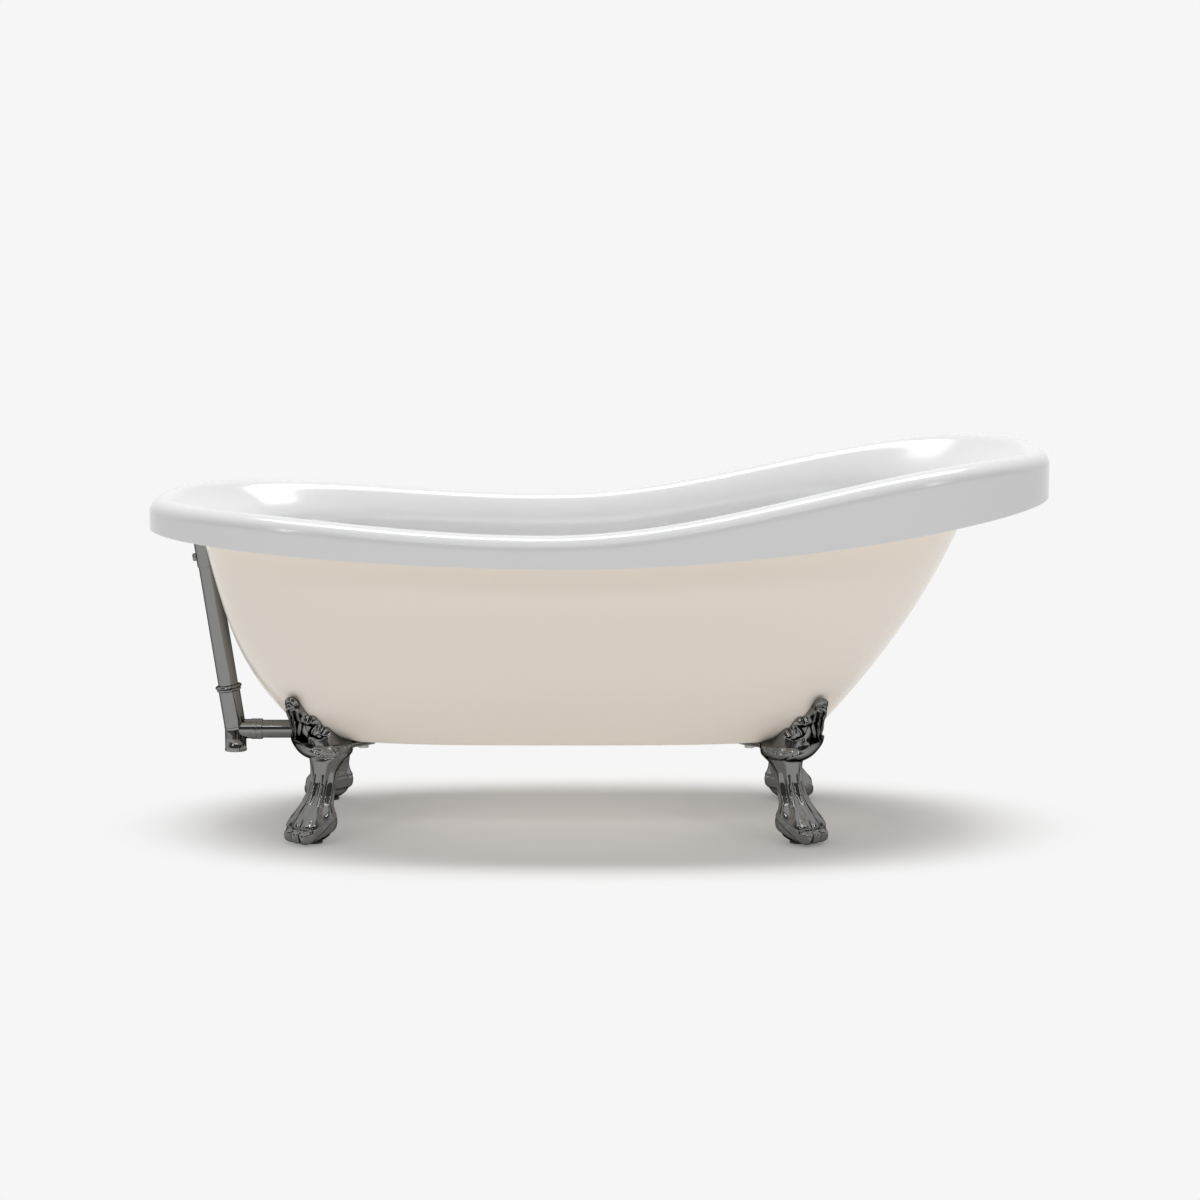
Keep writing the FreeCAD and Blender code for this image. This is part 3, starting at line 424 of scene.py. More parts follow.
# From here on in millimetres: the casting's forms, which come to metres in cast_foot.
SEAT_GAP, SADDLE, UNDERSIDE_Y = 0.3, 9.0, -142.0
SOLE, LEG_TOP, HEEL_RISE, HEEL_TOP = 4.0, 178.0, 19.0, 50.0
TOE_PITCH, TOE_SPREAD = 32.0, 50.0
LEAF_MIDDLE, HEAD_MIDDLE, HEAD_REACH, HEAD_OUT = (22.0, 196.0), (-8.0, 172.0), (42.0, 25.0), 46.0

# Sections of the leg: height, centre out from its axis, reach to front, back and side.
LEG_SECTIONS = np.array([
    (4.0, 38, 39, 30, 32), (8, 38, 44, 34, 36), (15, 38, 47, 37, 38), (24, 38, 48, 38, 39),
    (33, 37, 46, 38, 39), (41, 36, 43, 37, 38), (50, 34, 38, 34, 35), (60, 31, 32, 31, 31),
    (74, 25, 26, 27, 27), (92, 17, 23, 25, 24), (112, 11, 22, 23, 22), (132, 8, 23, 25, 23),
    (146, 4, 27, 28, 27), (154, 0, 31, 31, 31), (161, -4, 33, 32, 34), (167, -8, 28, 30, 31),
    (173, -12, 18, 22, 21), (178, -14, 8, 12, 10)], float).T

# Outline of the leaf against the shell: out from the leg towards the tub's end, and height.
LEAF_OUTLINE = np.array([
    (-43, 160), (-46, 171), (-45, 184), (-26, 191), (-12, 202), (-1, 213), (8, 214), (13, 224),
    (24, 236), (34, 236), (43, 248), (52, 264), (62, 272), (71, 268), (73, 256), (70, 236),
    (69, 212), (64, 190), (53, 172), (34, 158), (8, 142), (-22, 142)], float)


def shell_side(x, z):
    """Half width of the shell in millimetres at a place in millimetres: the depth that belongs to
    the height there is found by repeating its formula, and the oblong gives the width."""
    x, z = x / 1000, np.maximum(z / 1000, SHELL_BOTTOM + 0.001)
    depth = np.full(np.shape(x), 0.5)
    for _ in range(14):
        drain, side, head = shell_insets(depth)
        low, high = drain - TUB_LENGTH / 2, TUB_LENGTH / 2 - head
        along = np.clip((x - (low + high) / 2) / ((high - low) / 2), -0.995, 0.995)
        depth = np.clip((shell_top(along) - z) / (shell_top(along) - SHELL_BOTTOM), 0, 1)
    power = np.where(along > 0, 3.4, 3.0)
    return 1000 * (TUB_WIDTH / 2 - side) * (1 - np.abs(along) ** power) ** (1 / power)


def bell(value, middle, width, power=2):
    """A bump that is 1 at its middle and fades over its width; a high power has a flat top."""
    return np.exp(-np.abs((value - middle) / width) ** power)


def away(out, z, middle_out, middle_z, reach_out, reach_z):
    """Distance from the middle of an oval, which is 1 on the oval itself."""
    return np.hypot((out - middle_out) / reach_out, (z - middle_z) / reach_z)


def step(value, middle, width):
    """A smooth rise from 0 to 1 across a middle."""
    return 1 / (1 + np.exp(-np.clip((value - middle) / width, -40, 40)))


def paw_relief(degrees, z):
    """Millimetres that the skin of paw and leg stands out. Toes are the rectified cosine of the
    turn, so the clefts are sharp, once for the toe ends and once for the knuckles, with a crease
    between; claws, tendons, a raised seam along each side and an ankle are added to them."""
    off = np.abs(degrees)
    front = 1 - step(off, TOE_SPREAD, 2)
    lobes = np.abs(np.cos(np.pi * degrees / TOE_PITCH)) ** 0.75
    toe_ends = bell(z, 15, 11, 4) * (7.0 * lobes - 4.0)
    knuckles = bell(z, 41, 10, 3) * (6.5 * lobes - 4.0)
    crease = -5.0 * bell(z, 28 + 2 * lobes, 3.2)
    from_toe = (degrees + TOE_PITCH / 2) % TOE_PITCH - TOE_PITCH / 2
    claws = 2.6 * bell(from_toe, 0, 4.5) * bell(z, 10, 6)
    tendons = np.cos(np.pi * degrees / 24) * (3.0 * bell(z, 92, 38, 4) + 0.8 * bell(z, 140, 18))
    tendons = tendons * (1 - step(off, 128, 5))
    seam_height = 6 + 46 * np.clip((off - TOE_SPREAD) / 86, 0, 1) ** 0.9
    beside = step(off, TOE_SPREAD, 2) * bell(z, 30, 32, 6)
    seam = beside * (2.2 * bell(z, seam_height, 1.9) + 2.0 * step(z, seam_height, 1.3))
    ankle = 3.0 * bell(off, 96, 20) * bell(z, 60, 9)
    return front * (toe_ends + knuckles + crease + claws) + tendons + seam + ankle


def leg_grid():
    """Rings of a rounded oblong (power 4 at the paw, 2.6 above) whose centre and reaches follow
    the sections, in the leg's own frame: x out along the toes, y to the side. The relief is added
    along the radius, and the paw's lower edge rises from the toes back to the heel."""
    z = np.linspace(SOLE, LEG_TOP, 160)
    centre, front, back, side = [np.interp(z, LEG_SECTIONS[0], given) for given in LEG_SECTIONS[1:]]
    turn = np.linspace(-np.pi, np.pi, 288, endpoint=False)[:, None]
    along, across = np.cos(turn), np.sin(turn)
    power = 4 - 1.4 * step(z, 58, 6)
    reach = (np.abs(along) ** power + np.abs(across) ** power) ** (-1 / power)
    out = np.where(along > 0, front, back) * along * reach
    aside = side * across * reach
    relief = paw_relief(np.degrees(turn), z)
    radius = np.hypot(out, aside)
    out, aside = out * (1 + relief / radius), aside * (1 + relief / radius)
    behind = np.clip((np.abs(np.degrees(turn)) - 40) / 95, 0, 1)
    lift = HEEL_RISE * behind * np.clip(1 - (z - SOLE) / HEEL_TOP, 0, 1)
    grid = np.stack(np.broadcast_arrays(centre + out, aside, z + lift), axis=-1)
    grid = eased(grid, np.ones(len(z)), 3)
    foot, crown = grid[:, :1], grid[:, -1:]
    middle = foot.mean(axis=0) * [1, 1, 0] + [0, 0, SOLE]
    sole = [middle + (foot - middle) * [share, share, share ** 4] for share in (0, 0.6, 0.85)]
    crown = np.broadcast_to(crown.mean(axis=0), crown.shape)
    return np.concatenate([*sole, grid, crown], axis=1)


def splayed(points, end):
    """From the leg's own frame to the tub's: turned so that the toes point out along a corner."""
    x, direction = FEET[end]
    turn = math.pi + SPLAY if direction < 0 else -SPLAY
    out, aside = points[..., 0], points[..., 1]
    return np.stack([1000 * x + out * math.cos(turn) - aside * math.sin(turn),
                     -1000 * LEG_Y + out * math.sin(turn) + aside * math.cos(turn),
                     points[..., 2]], axis=-1)


def kept_outside(points):
    """Presses points that would be inside the shell out sideways onto it, with the seat's gap."""
    side = shell_side(points[..., 0], points[..., 2]) + SEAT_GAP
    inside = (points[..., 2] > 1000 * SHELL_BOTTOM - SEAT_GAP) & (points[..., 1] > -side)
    return np.stack([points[..., 0], np.where(inside, -side, points[..., 1]), points[..., 2]], -1)


def smooth_closed(outline, count):
    """Closed curve through points, evenly in their own order, by Catmull-Rom cubics."""
    place = np.linspace(0, len(outline), count, endpoint=False)
    start = place.astype(int)
    t = (place - start)[:, None]
    a, b, c, d = [outline[(start + k) % len(outline)] for k in (-1, 0, 1, 2)]
    return (b + t * (c - a) / 2 + t ** 2 * (a - 2.5 * b + 2 * c - d / 2)
            + t ** 3 * (1.5 * b - 1.5 * c + (d - a) / 2))


def leaf_relief(out, z, rim):
    """Millimetres that the leaf stands off the shell. rim is 1 at the outline and 0 in the middle.
    Added up: its thickness, the knee, the plume's flutes, the band at its foot, a shelf below and
    a swell above the band, two lobes with their folds, a bead along the edge, and the head."""
    knee = 32 * bell(away(out, z, 20, 166, 40, 32), 0, 1, 2.4)
    across = (out - 57) - (z - 192) * 0.09
    plume = step(z, 196, 3) * bell(across, 0, 17, 6)
    flutes = plume * (7.0 + 2.8 * np.cos(2 * np.pi * across / 8.6) + 0.10 * (z - 196))
    band = 5.0 * bell(z, 192 + 0.010 * (out - 44) ** 2, 3.4) * bell(out, 44, 22, 6)
    shelf = 7.0 * bell(out, 46, 22, 4) * bell(z, 184, 12, 3)
    swell = 8.0 * bell(away(out, z, 38, 206, 20, 15), 0, 1, 3)
    upper, lower = away(out, z, 30, 232, 13, 8), away(out, z, 8, 211, 12, 8)
    lobes = 7 * bell(upper, 0, 1, 4) + 7 * bell(lower, 0, 1, 4) - 3 * bell(lower, 1.4, 0.25)
    fold_line = (z - 186) - 1.15 * (out - 2)
    folds = -3.2 * bell(fold_line, 18, 2.6) - 3.2 * bell(fold_line, -9, 2.6)
    bead = 4.0 * bell(rim, 0.88, 0.05) * step(z, 178, 4)
    leaf = SADDLE + knee + flutes + band + shelf + swell + lobes + folds + bead
    return leaf + head_relief(out, z)


def head_relief(out, z):
    """Millimetres of the head at the leaf's foot: an almond eye with its rim, and the blunt nose
    towards the tub's middle, parted by a mouth line, with folds behind it."""
    almond = away(out, z - 0.35 * (out - 12), 12, 184, 10.5, 5.2)
    eye = 3.6 * bell(almond, 1, 0.28) - 3.0 * bell(almond, 0, 0.7)
    nose = bell(out, -40, 15, 4) * (3.5 - 6.5 * bell(z, 176, 2.6))
    waves = np.cos(2 * np.pi * (z - 0.55 * out) / 12)
    return eye + nose + 2.6 * waves * bell(out, -18, 12, 4) * step(z, 172, 3)


def leaf_grid(end):
    """The leaf as a closed cushion on the shell. Seen face: rays from a middle to the outline, each
    point moved along the shell's normal by the relief, round at the edge, and at the head moved
    straight out as well. Hidden face: the same outline on the shell or under the tub's bottom."""
    x0, direction = FEET[end]
    outline = smooth_closed(LEAF_OUTLINE, 320)
    share = np.linspace(0, 1, 120)[None, :, None] ** 0.8
    flat = LEAF_MIDDLE + (outline[:, None, :] - LEAF_MIDDLE) * share
    rim = share[..., 0]
    out, z = flat[..., 0], flat[..., 1]
    x = 1000 * x0 + direction * out
    side = shell_side(x, z)
    steepness = (shell_side(x + 1, z) - shell_side(x - 1, z)) / 2
    overhang = (shell_side(x, z + 1) - shell_side(x, z - 1)) / 2 * (z > 184)
    normal = np.stack([-steepness, -np.ones_like(side), -overhang], axis=-1)
    normal /= np.linalg.norm(normal, axis=-1, keepdims=True)
    base = np.stack([x, -side, z], axis=-1)
    edge_round = np.sqrt(np.clip(1 - rim ** 10, 0, 1))
    relief = SEAT_GAP + (leaf_relief(out, z, rim) - SEAT_GAP) * edge_round
    seen = base + normal * relief[..., None]
    head = bell(away(out, z, *HEAD_MIDDLE, *HEAD_REACH), 0, 1, 3)
    seen[..., 1] -= HEAD_OUT * head * edge_round
    under = z < 1000 * SHELL_BOTTOM - 1.5
    hidden_y = np.where(under, np.maximum(-side, UNDERSIDE_Y), -side - SEAT_GAP)
    hidden = np.stack([x, hidden_y, z], axis=-1)
    grid = np.concatenate([seen, hidden[:, ::-1]], axis=1)
    return grid if direction < 0 else grid[::-1]


def curl_grid(end):
    """The leaf's tip: an oval section carried along a hook that leaves the shell, turns over
    outwards and points down again. The section stands across the hook and shrinks to its end."""
    x0, direction = FEET[end]
    hook = smooth_open(np.array([(57, 238, 9), (58, 250, 12), (60, 262, 15), (66, 268, 17),
                                 (73, 265, 18), (75, 257, 17), (72, 252, 15)], float), 60)
    out, z, off = hook.T
    x = 1000 * x0 + direction * out
    path = np.stack([x, -shell_side(x, z) - off, z], axis=-1)
    ahead = np.gradient(path, axis=0)
    ahead /= np.linalg.norm(ahead, axis=1, keepdims=True)
    broad = np.cross(ahead, [0.0, 1.0, 0.0])
    broad /= np.linalg.norm(broad, axis=1, keepdims=True)
    deep = np.cross(ahead, broad)
    along = np.linspace(0, 1, 60)
    width = 9.5 * (1 - 0.62 * along) * np.sqrt(np.clip(1 - along ** 12, 0, 1))
    depth = 8.5 * (1 - 0.35 * along) * np.sqrt(np.clip(1 - along ** 12, 0, 1))
    turn = np.linspace(0, 2 * np.pi, 48, endpoint=False)[:, None, None]
    groove = 1 + 0.10 * np.cos(5 * turn)
    grid = (path + groove * np.cos(turn) * broad * width[:, None]
            + groove * np.sin(turn) * deep * depth[:, None])
    start = np.broadcast_to(path[:1], grid[:, :1].shape)
    return np.concatenate([start, grid], axis=1)


def smooth_open(points, count):
    """Open curve through points by Catmull-Rom cubics, its ends carried straight on."""
    padded = np.concatenate([[2 * points[0] - points[1]], points, [2 * points[-1] - points[-2]]])
    place = np.linspace(0, len(points) - 1.0001, count)
    start = place.astype(int)
    t = (place - start)[:, None]
    a, b, c, d = [padded[start + k] for k in (0, 1, 2, 3)]
    return (b + t * (c - a) / 2 + t ** 2 * (a - 2.5 * b + 2 * c - d / 2)
            + t ** 3 * (1.5 * b - 1.5 * c + (d - a) / 2))


def tongue_grid(end):
    """The flat arm under the tub's bottom that the foot bolt goes through: a box with its corners
    drawn in by a power of 8, from the leg's axis inwards along the diagonal."""
    turn = np.linspace(0, 2 * np.pi, 96, endpoint=False)[:, None]
    reach = (np.abs(np.cos(turn)) ** 8 + np.abs(np.sin(turn)) ** 8) ** (-1 / 8)
    level = np.array([172.7, 172.7, 173.5, 180.9, 181.7, 181.7])
    scale = np.array([0.0, 0.97, 1.0, 1.0, 0.97, 0.0])
    out = -53 + 53 * reach * np.cos(turn) * scale
    aside = 22 * reach * np.sin(turn) * scale
    return splayed(np.stack(np.broadcast_arrays(out, aside, level), axis=-1), end)


def cast_foot(end):
    """One casting from its parts: they are joined, remeshed into one skin and softened."""
    parts = [kept_outside(splayed(leg_grid(), end)), leaf_grid(end), curl_grid(end),
             tongue_grid(end)]
    mesh = facing_out(grid_mesh("foot_" + end, [part / 1000 for part in parts]))
    rough = bpy.data.objects.new("casting_" + end, mesh)
    bpy.context.scene.collection.objects.link(rough)
    one_skin = rough.modifiers.new("one_skin", "REMESH")
    one_skin.mode, one_skin.voxel_size = "VOXEL", CASTING_GRAIN
    soften = rough.modifiers.new("soften", "SMOOTH")
    soften.factor, soften.iterations = 0.5, 3
    settle(rough)
    cast = rough.data
    bpy.data.objects.remove(rough)
    return cast


def mirrored(mesh, name):
    """The same mesh on the other side of the tub, with its faces turned back outwards."""
    copy = mesh.copy()
    copy.name = name
    places = np.empty(len(copy.vertices) * 3)
    copy.vertices.foreach_get("co", places)
    places[1::3] *= -1
    copy.vertices.foreach_set("co", places)
    copy.flip_normals()
    return copy


# The feet's chrome is given a dark colour, far below the trim's: painted shade that darkens its
# reflections.
shaded_foot_chrome = finish_of("shaded_foot_chrome", (0.23, 0.23, 0.224, 1), 0.12, 1.0)
for end in FEET:
    left = cast_foot(end)
    for side, mesh in (("left", left), ("right", mirrored(left, "foot_" + end + "_right"))):
        smooth_below(mesh, 180)
        placed("foot_" + end + "_" + side, mesh, shaded_foot_chrome, "tub",
               ["claw_foot_" + end + "_" + side])


# ---------------------------------------------------------------- foot bolts and glides
# Zinc-plated bolts come up through each foot's tongue into tee nuts in the board. Under each paw a
# black plastic glide on a steel screw turns in a brass insert, to level the tub.

zinc = finish_of("zinc_plate", (0.55, 0.55, 0.53, 1), 0.35, 1.0)
brass = finish_of("turned_brass", (0.60, 0.45, 0.20, 1), 0.3, 1.0)
black_plastic = finish_of("black_plastic", (0.03, 0.03, 0.032, 1), 0.5)
for node in ("foot_bolts", "foot_washers", "foot_tee_nuts"):
    dressed(node, zinc)
dressed("glide_inserts", brass)
for end in FEET:
    for side in ("left", "right"):
        dressed("glide_" + end + "_" + side, black_plastic)


# ---------------------------------------------------------------- overflow
# Chromed brass. An elbow stands in the shell's channel with its neck through both walls; a round
# plate inside the basin is drawn up to it by one screw. A blanking plug faces the drain end.

# The waste's chrome is given a dark colour, far below the trim's, which keeps chrome's own brightness:
# painted shade that darkens its reflections.
shaded_waste_chrome = finish_of("shaded_waste_chrome", (0.25, 0.25, 0.244, 1), 0.10, 1.0)
trim_chrome = finish_of("trim_chrome", (0.62, 0.62, 0.61, 1), 0.08, 1.0)
black_rubber = finish_of("black_rubber", (0.02, 0.02, 0.02, 1), 0.6)


def eased_rod(start, end, outer, inner=0.0, soft=0.0006):
    """Rod or tube between two points, with its outer corners eased by a small chamfer."""
    start, end = np.asarray(start, float), np.asarray(end, float)
    length = np.linalg.norm(end - start)
    profile = [(inner, 0), (outer - soft, 0), (outer, soft), (outer, length - soft),
               (outer - soft, length), (inner, length)]
    return turned(profile, start, end - start)


def metal_piece(name, grids, material, body, nodes):
    """A turned or fitted metal piece, with its edges crisp."""
    mesh = facing_out(grid_mesh(name, grids))
    smooth_below(mesh, 32)
    return placed(name, mesh, material, body, nodes)


ELBOW_RADIUS, ELBOW_FOOT, ELBOW_TOP, DOME = 0.0208, 0.497, 0.562, 0.02704
NECK_RADIUS, NECK_BORE, NECK_LENGTH = 0.015, 0.013, 0.0437
foot, top = tube_point(ELBOW_FOOT), tube_point(ELBOW_TOP)
elbow_length = np.linalg.norm(top - foot)
dome_turn = np.linspace(math.asin(ELBOW_RADIUS / DOME), 0.0, 14)
dome_sphere = elbow_length + 0.0004 - DOME
elbow_profile = [(0, 0.012), (0.0193, 0.012), (0.0193, 0), (ELBOW_RADIUS - 0.0005, 0),
                 (ELBOW_RADIUS, 0.0005)]
elbow_profile += [(DOME * math.sin(a), dome_sphere + DOME * math.cos(a)) for a in dome_turn]
metal_piece("overflow_elbow_body",
            [turned(elbow_profile, foot, tube_up),
             eased_rod(overflow, overflow + inward * NECK_LENGTH, NECK_RADIUS, NECK_BORE)],
            shaded_waste_chrome, "tub", ["overflow_elbow"])
plug_face = overflow - inward * ELBOW_RADIUS
metal_piece("overflow_blanking_plug",
            [turned([(0, -0.001), (0.0075, -0.001), (0.0075, 0.0045), (0.0066, 0.006),
                     (0.0052, 0.006), (0.0045, 0.0048), (0, 0.0048)], plug_face, -inward)],
            shaded_waste_chrome, "tub", ["overflow_plug"])
dressed("overflow_gasket", black_rubber)
dressed("overflow_cover", trim_chrome)
dressed("overflow_screw", trim_chrome)


# ---------------------------------------------------------------- overflow tube and tee
# Thin drawn brass tube, 38 mm across, chromed. A slip nut with a ring seal holds its lower end in
# the tee, whose level arm takes the branch and whose open lower end takes the waste from the floor.

TUBE_RADIUS, TUBE_BORE, TUBE_FROM, TUBE_TO = 0.01905, 0.01785, 0.232, 0.507
TEE_RADIUS, TEE_BAND, SOCKET_TOP, OUTLET_BOTTOM = 0.0206, (0.1843, 0.1861), 0.254, 0.137
ARM_LENGTH, ARM_RADIUS = 0.026, 0.0189
metal_piece("overflow_pipe",
            [eased_rod(tube_point(TUBE_FROM), tube_point(TUBE_TO), TUBE_RADIUS, TUBE_BORE)],
            shaded_waste_chrome, "tub", ["overflow_tube"])
nut_foot = tube_point(SOCKET_TOP + 0.008) - tube_up * 0.008
metal_piece("slip_nut",
            [turned([(0.0193, 0), (0.0216, 0), (0.0228, 0.001), (0.0232, 0.003), (0.0228, 0.0046),
                     (0.0236, 0.0056), (0.0250, 0.0066), (0.0256, 0.0082), (0.0252, 0.0098),
                     (0.0240, 0.0112), (0.0222, 0.012), (0.0193, 0.012)], nut_foot, tube_up)],
            shaded_waste_chrome, "tub", ["tube_slip_nut"])
joint = tube_point(BRANCH_Z)
outlet_end = np.array([joint[0], 0, OUTLET_BOTTOM])
level = np.array([1.0, 0, 0])
arm_end = joint + level * (TEE_RADIUS + ARM_LENGTH)
socket_top = nut_foot + tube_up * (SOCKET_TOP - nut_foot[2])
ball = np.linspace(0, math.pi, 25)
ball_profile = [(TEE_RADIUS * math.sin(a), -TEE_RADIUS * math.cos(a)) for a in ball]
outlet_profile = [(0.01925, 0), (0.0206, 0), (0.0213, 0.0007), (0.0213, 0.0035), (0.0206, 0.0042),
                  (TEE_RADIUS, BRANCH_Z - OUTLET_BOTTOM), (0, BRANCH_Z - OUTLET_BOTTOM),
                  (0, 0.025), (0.01925, 0.025)]
metal_piece("tee_body",
            [eased_rod(joint, socket_top, TEE_RADIUS),
             turned(ball_profile, joint, upright),
             turned(outlet_profile, outlet_end, upright),
             eased_rod(*[tube_point(height) for height in TEE_BAND], TEE_RADIUS + 0.0006),
             eased_rod(joint, arm_end, ARM_RADIUS)],
            shaded_waste_chrome, "tub", ["waste_tee"])
dressed("tube_slip_washer", black_rubber)


# ---------------------------------------------------------------- branch and shoe
# A level tube from the tee to the drain's shoe under the tub. Its slim nut has one round lug, and a
# ring seal inside. The shoe is a short pot that hangs from the strainer's neck.

BRANCH_RADIUS, BRANCH_BORE, ENTRY, BRANCH_NUT = 0.01745, 0.01625, 0.020, 0.022
SHOE_ARM, SHOE_ARM_RADIUS, SHOE_ARM_BORE, SHOE_BOTTOM = 0.062, 0.0199, 0.01765, 0.157
shoe_mouth = np.array([DRAIN_X - SHOE_ARM, 0, BRANCH_Z])
nut_start = arm_end + level * (0.006 - BRANCH_NUT)
metal_piece("branch_pipe",
            [eased_rod(arm_end - level * ENTRY, shoe_mouth + level * ENTRY, BRANCH_RADIUS, BRANCH_BORE)],
            shaded_waste_chrome, "tub", ["branch_tube"])
lug = nut_start + level * 0.008
metal_piece("branch_slip_nut",
            [turned([(0.0191, 0), (0.0194, 0), (0.0199, 0.0006), (0.0199, 0.0094), (0.0195, 0.010),
                     (0.0195, 0.0112), (0.0199, 0.0118), (0.0199, 0.0212), (0.0191, 0.022),
                     (0.01765, 0.022), (0.01765, 0.019), (0.0191, 0.019)], nut_start, level),
             eased_rod(lug + np.array([0, -0.0188, 0]), lug + np.array([0, -0.0209, 0]), 0.0016)],
            shaded_waste_chrome, "tub", ["branch_nut"])
dressed("branch_washer", black_rubber)
metal_piece("drain_shoe_body",
            [turned([(0, 0), (0.022, 0), (0.0245, 0.0012), (0.026, 0.0038), (0.026, 0.050),
                     (0.01905, 0.050), (0.01905, 0.003), (0, 0.003)], (DRAIN_X, 0, SHOE_BOTTOM), upright),
             eased_rod(shoe_mouth, (DRAIN_X - 0.0195, 0, BRANCH_Z), SHOE_ARM_RADIUS, SHOE_ARM_BORE),
             eased_rod(shoe_mouth, shoe_mouth + level * 0.005, 0.0211, SHOE_ARM_BORE)],
            shaded_waste_chrome, "tub", ["drain_shoe"])
dressed("shoe_gasket", black_rubber)


# ---------------------------------------------------------------- strainer and plug
# A chromed flange screwed down into the shoe, and a press-to-open plug on a sprung stem in its
# hub: a domed cap over a soft ring that seals on the flange's dish. The plug rises 9 mm.

dressed("drain_flange", trim_chrome)
dressed("flange_seal", black_rubber)
dressed("stopper_barrel", brass)
dressed("stopper_spring", zinc)
dressed("stopper_stem", brass)
dressed("stopper_seal", black_rubber)
CAP_RADIUS, CAP_BOTTOM, CAP_HEIGHT = 0.030, 0.2194, 0.006
spread = np.linspace(1, 0, 16)
cap_profile = [(0, 0), (CAP_RADIUS - 0.001, 0), (CAP_RADIUS, 0.0012)]
cap_profile += [(CAP_RADIUS * s, CAP_HEIGHT - 0.0042 * s ** 4 - 0.0004 * s) for s in spread]
metal_piece("plug_cap", [turned(cap_profile, (DRAIN_X, 0, CAP_BOTTOM), upright)],
            trim_chrome, "stopper", ["stopper_cap"])


# ---------------------------------------------------------------- floor, light and camera
# A pale studio floor that keeps the tub's shadow near the tub, a world that is pale to the camera and
# shows gloss and metal a painted reflection, and large soft lamps. To the camera the floor is painted
# near the tub and plain further out; the tub itself is lit by its bounce and from below by the floor's
# own glow, a glowing floor that stands in for a lamp.

# PALE is the level of the background. Pairs are a level for light and a level as it is shown.
PALE, DIM = 0.922, 0.10
# The floor glows for the rays that light the tub, weakly near it and almost white further out: a glowing
# floor that lights the tub's lower sides from below as a lamp would.
FLOOR_NEAR, FLOOR_FAR, AIR_LIGHT = (0.35, 0.16), (0.95, PALE), 0.16
FLOOR_PAINT, FLOOR_HALF = 0.75, 60.0


def add_node(tree, kind, **values):
    """Adds a node and sets its plain inputs by their names."""
    made = tree.nodes.new(kind)
    for name, value in values.items():
        made.inputs[name.replace("_", " ")].default_value = value
    return made


def larger(tree, one, other):
    """The larger of two values."""
    either = tree.nodes.new("ShaderNodeMath")
    either.operation = "MAXIMUM"
    tree.links.new(one, either.inputs[0])
    tree.links.new(other, either.inputs[1])
    return either.outputs["Value"]


def by_ray(tree, lighting, shown):
    """A level for rays that light other things, and a level or socket for the rays that show the
    background: from the camera, through glass and off gloss and metal."""
    rays = tree.nodes.new("ShaderNodeLightPath").outputs
    seen = larger(tree, larger(tree, rays["Is Camera Ray"], rays["Is Glossy Ray"]),
                  rays["Is Transmission Ray"])
    level = add_node(tree, "ShaderNodeMapRange", To_Min=lighting)
    tree.links.new(seen, level.inputs["Value"])
    if isinstance(shown, float):
        level.inputs["To Max"].default_value = shown
    else:
        tree.links.new(shown, level.inputs["To Max"])
    return level.outputs["Result"]


floor_material = bpy.data.materials.new("pale_floor")
floor_material.use_nodes = True
floor_tree = floor_material.node_tree
floor_tree.nodes.clear()
floor_out = floor_tree.nodes.new("ShaderNodeOutputMaterial")
floor_glow = floor_tree.nodes.new("ShaderNodeEmission")
floor_paint = add_node(floor_tree, "ShaderNodeBsdfDiffuse", Color=(*[FLOOR_PAINT] * 3, 1))
floor_near = floor_tree.nodes.new("ShaderNodeAddShader")
floor_far = floor_tree.nodes.new("ShaderNodeEmission")
floor_place = floor_tree.nodes.new("ShaderNodeTexCoord")
# Inside an oval round the tub the floor keeps the tub's shadow; outside it the floor is only its even
# glow, which cuts the shadow off at the oval.
floor_scale = floor_tree.nodes.new("ShaderNodeMapping")
floor_scale.inputs["Location"].default_value = (0, 0.05, 0)
floor_scale.inputs["Scale"].default_value = (1.02, 1.667, 1)
floor_distance = floor_tree.nodes.new("ShaderNodeVectorMath")
floor_distance.operation = "LENGTH"
floor_fade = add_node(floor_tree, "ShaderNodeMapRange", From_Min=0.56, From_Max=1.0)
floor_fade.interpolation_type = "SMOOTHSTEP"
floor_mix = floor_tree.nodes.new("ShaderNodeMixShader")
for start, end in ((by_ray(floor_tree, *FLOOR_NEAR), floor_glow.inputs["Strength"]),
                   (by_ray(floor_tree, *FLOOR_FAR), floor_far.inputs["Strength"]),
                   (floor_glow.outputs["Emission"], floor_near.inputs[0]),
                   (floor_paint.outputs["BSDF"], floor_near.inputs[1]),
                   (floor_place.outputs["Object"], floor_scale.inputs["Vector"]),
                   (floor_scale.outputs["Vector"], floor_distance.inputs[0]),
                   (floor_distance.outputs["Value"], floor_fade.inputs["Value"]),
                   (floor_fade.outputs["Result"], floor_mix.inputs["Fac"]),
                   (floor_near.outputs["Shader"], floor_mix.inputs[1]),
                   (floor_far.outputs["Emission"], floor_mix.inputs[2]),
                   (floor_mix.outputs["Shader"], floor_out.inputs["Surface"])):
    floor_tree.links.new(start, end)
floor_mesh = bpy.data.meshes.new("floor")
floor_mesh.from_pydata([(x * FLOOR_HALF, y * FLOOR_HALF, 0)
                        for x, y in ((-1, -1), (1, -1), (1, 1), (-1, 1))], [], [(0, 1, 2, 3)])
floor_mesh.materials.append(floor_material)
floor = bpy.data.objects.new("floor", floor_mesh)
bpy.context.scene.collection.objects.link(floor)

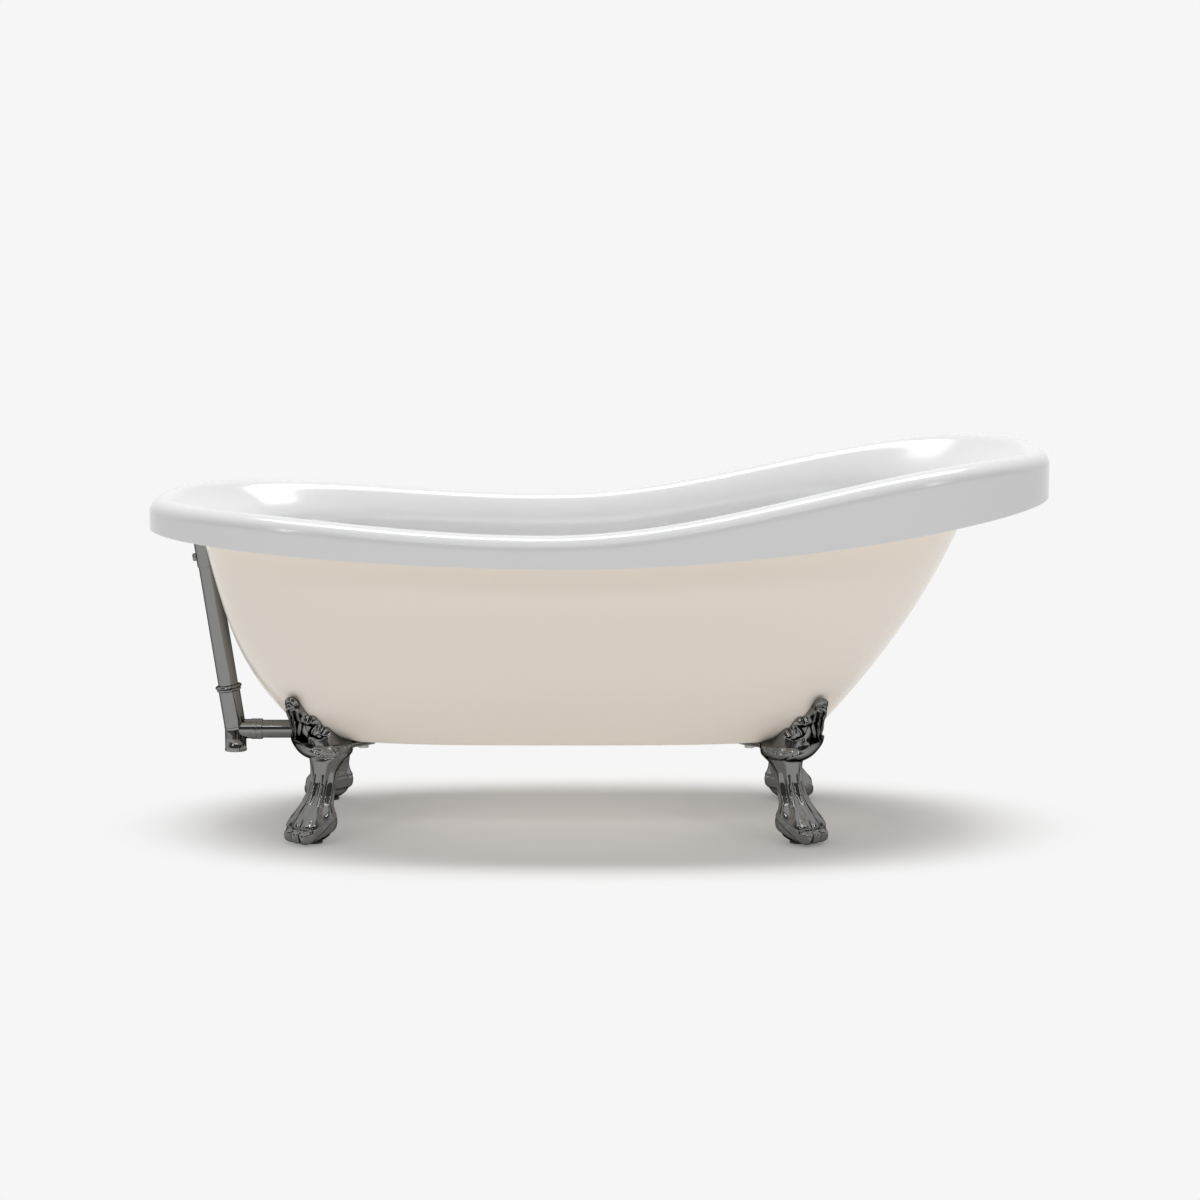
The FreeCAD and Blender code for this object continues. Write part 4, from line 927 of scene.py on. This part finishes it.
world = bpy.data.worlds.new("pale_studio")
world.use_nodes = True
air = world.node_tree.nodes["Background"]
air.inputs["Color"].default_value = (1, 1, 1, 1)
air_tree = world.node_tree
# For gloss and metal the world shows a painted reflection of a room: dark towards the front, pale behind
# and straight above. To the camera it is evenly pale, and it lights the scene at a low even level.
looking = air_tree.nodes.new("ShaderNodeSeparateXYZ")
air_place = air_tree.nodes.new("ShaderNodeTexCoord")
air_tree.links.new(air_place.outputs["Generated"], looking.inputs["Vector"])
painted_reflection_front = add_node(air_tree, "ShaderNodeMapRange", From_Min=-0.45, From_Max=0.15,
                    To_Min=DIM, To_Max=PALE)
painted_reflection_ceiling = add_node(air_tree, "ShaderNodeMapRange", From_Min=0.62, From_Max=0.80,
                   To_Min=DIM, To_Max=PALE)
air_tree.links.new(looking.outputs["Y"], painted_reflection_front.inputs["Value"])
air_tree.links.new(looking.outputs["Z"], painted_reflection_ceiling.inputs["Value"])
painted_reflection_room = add_node(air_tree, "ShaderNodeMapRange", To_Min=PALE)
glossy = air_tree.nodes.new("ShaderNodeLightPath").outputs["Is Glossy Ray"]
air_tree.links.new(glossy, painted_reflection_room.inputs["Value"])
air_tree.links.new(larger(air_tree, painted_reflection_front.outputs["Result"], painted_reflection_ceiling.outputs["Result"]),
                   painted_reflection_room.inputs["To Max"])
air_tree.links.new(by_ray(air_tree, AIR_LIGHT, painted_reflection_room.outputs["Result"]), air.inputs["Strength"])
bpy.context.scene.world = world


def softbox(name, place, aim, width, height, power):
    """A rectangular lamp that faces a point."""
    lamp = bpy.data.lights.new(name, "AREA")
    lamp.shape, lamp.size, lamp.size_y, lamp.energy = "RECTANGLE", width, height, power
    holder = bpy.data.objects.new(name, lamp)
    bpy.context.scene.collection.objects.link(holder)
    holder.location = place
    holder.rotation_euler = (Vector(aim) - Vector(place)).to_track_quat("-Z", "Y").to_euler()


softbox("overhead", (0, 0.7, 6.0), (0, 0, 0.4), 4.4, 1.9, 290)
softbox("front", (0, -2.9, 2.6), (0, 0, 0.4), 2.6, 0.45, 9)
softbox("front_left", (-2.2, -2.8, 2.0), (0, 0, 0.4), 0.2, 1.4, 8)
softbox("front_right", (2.2, -2.8, 2.0), (0, 0, 0.4), 0.2, 1.4, 8)

CAMERA_PLACE, CAMERA_TILT, CAMERA_LENS = (0.0032, -6.5, 1.3463), 8.02, 102.5
eye = bpy.data.cameras.new("camera")
eye.lens, eye.sensor_width = CAMERA_LENS, 36.0
camera = bpy.data.objects.new("camera", eye)
bpy.context.scene.collection.objects.link(camera)
camera.location = CAMERA_PLACE
camera.rotation_euler = (math.radians(90 - CAMERA_TILT), 0, 0)
bpy.context.scene.camera = camera
bpy.context.scene.view_settings.view_transform = "Standard"
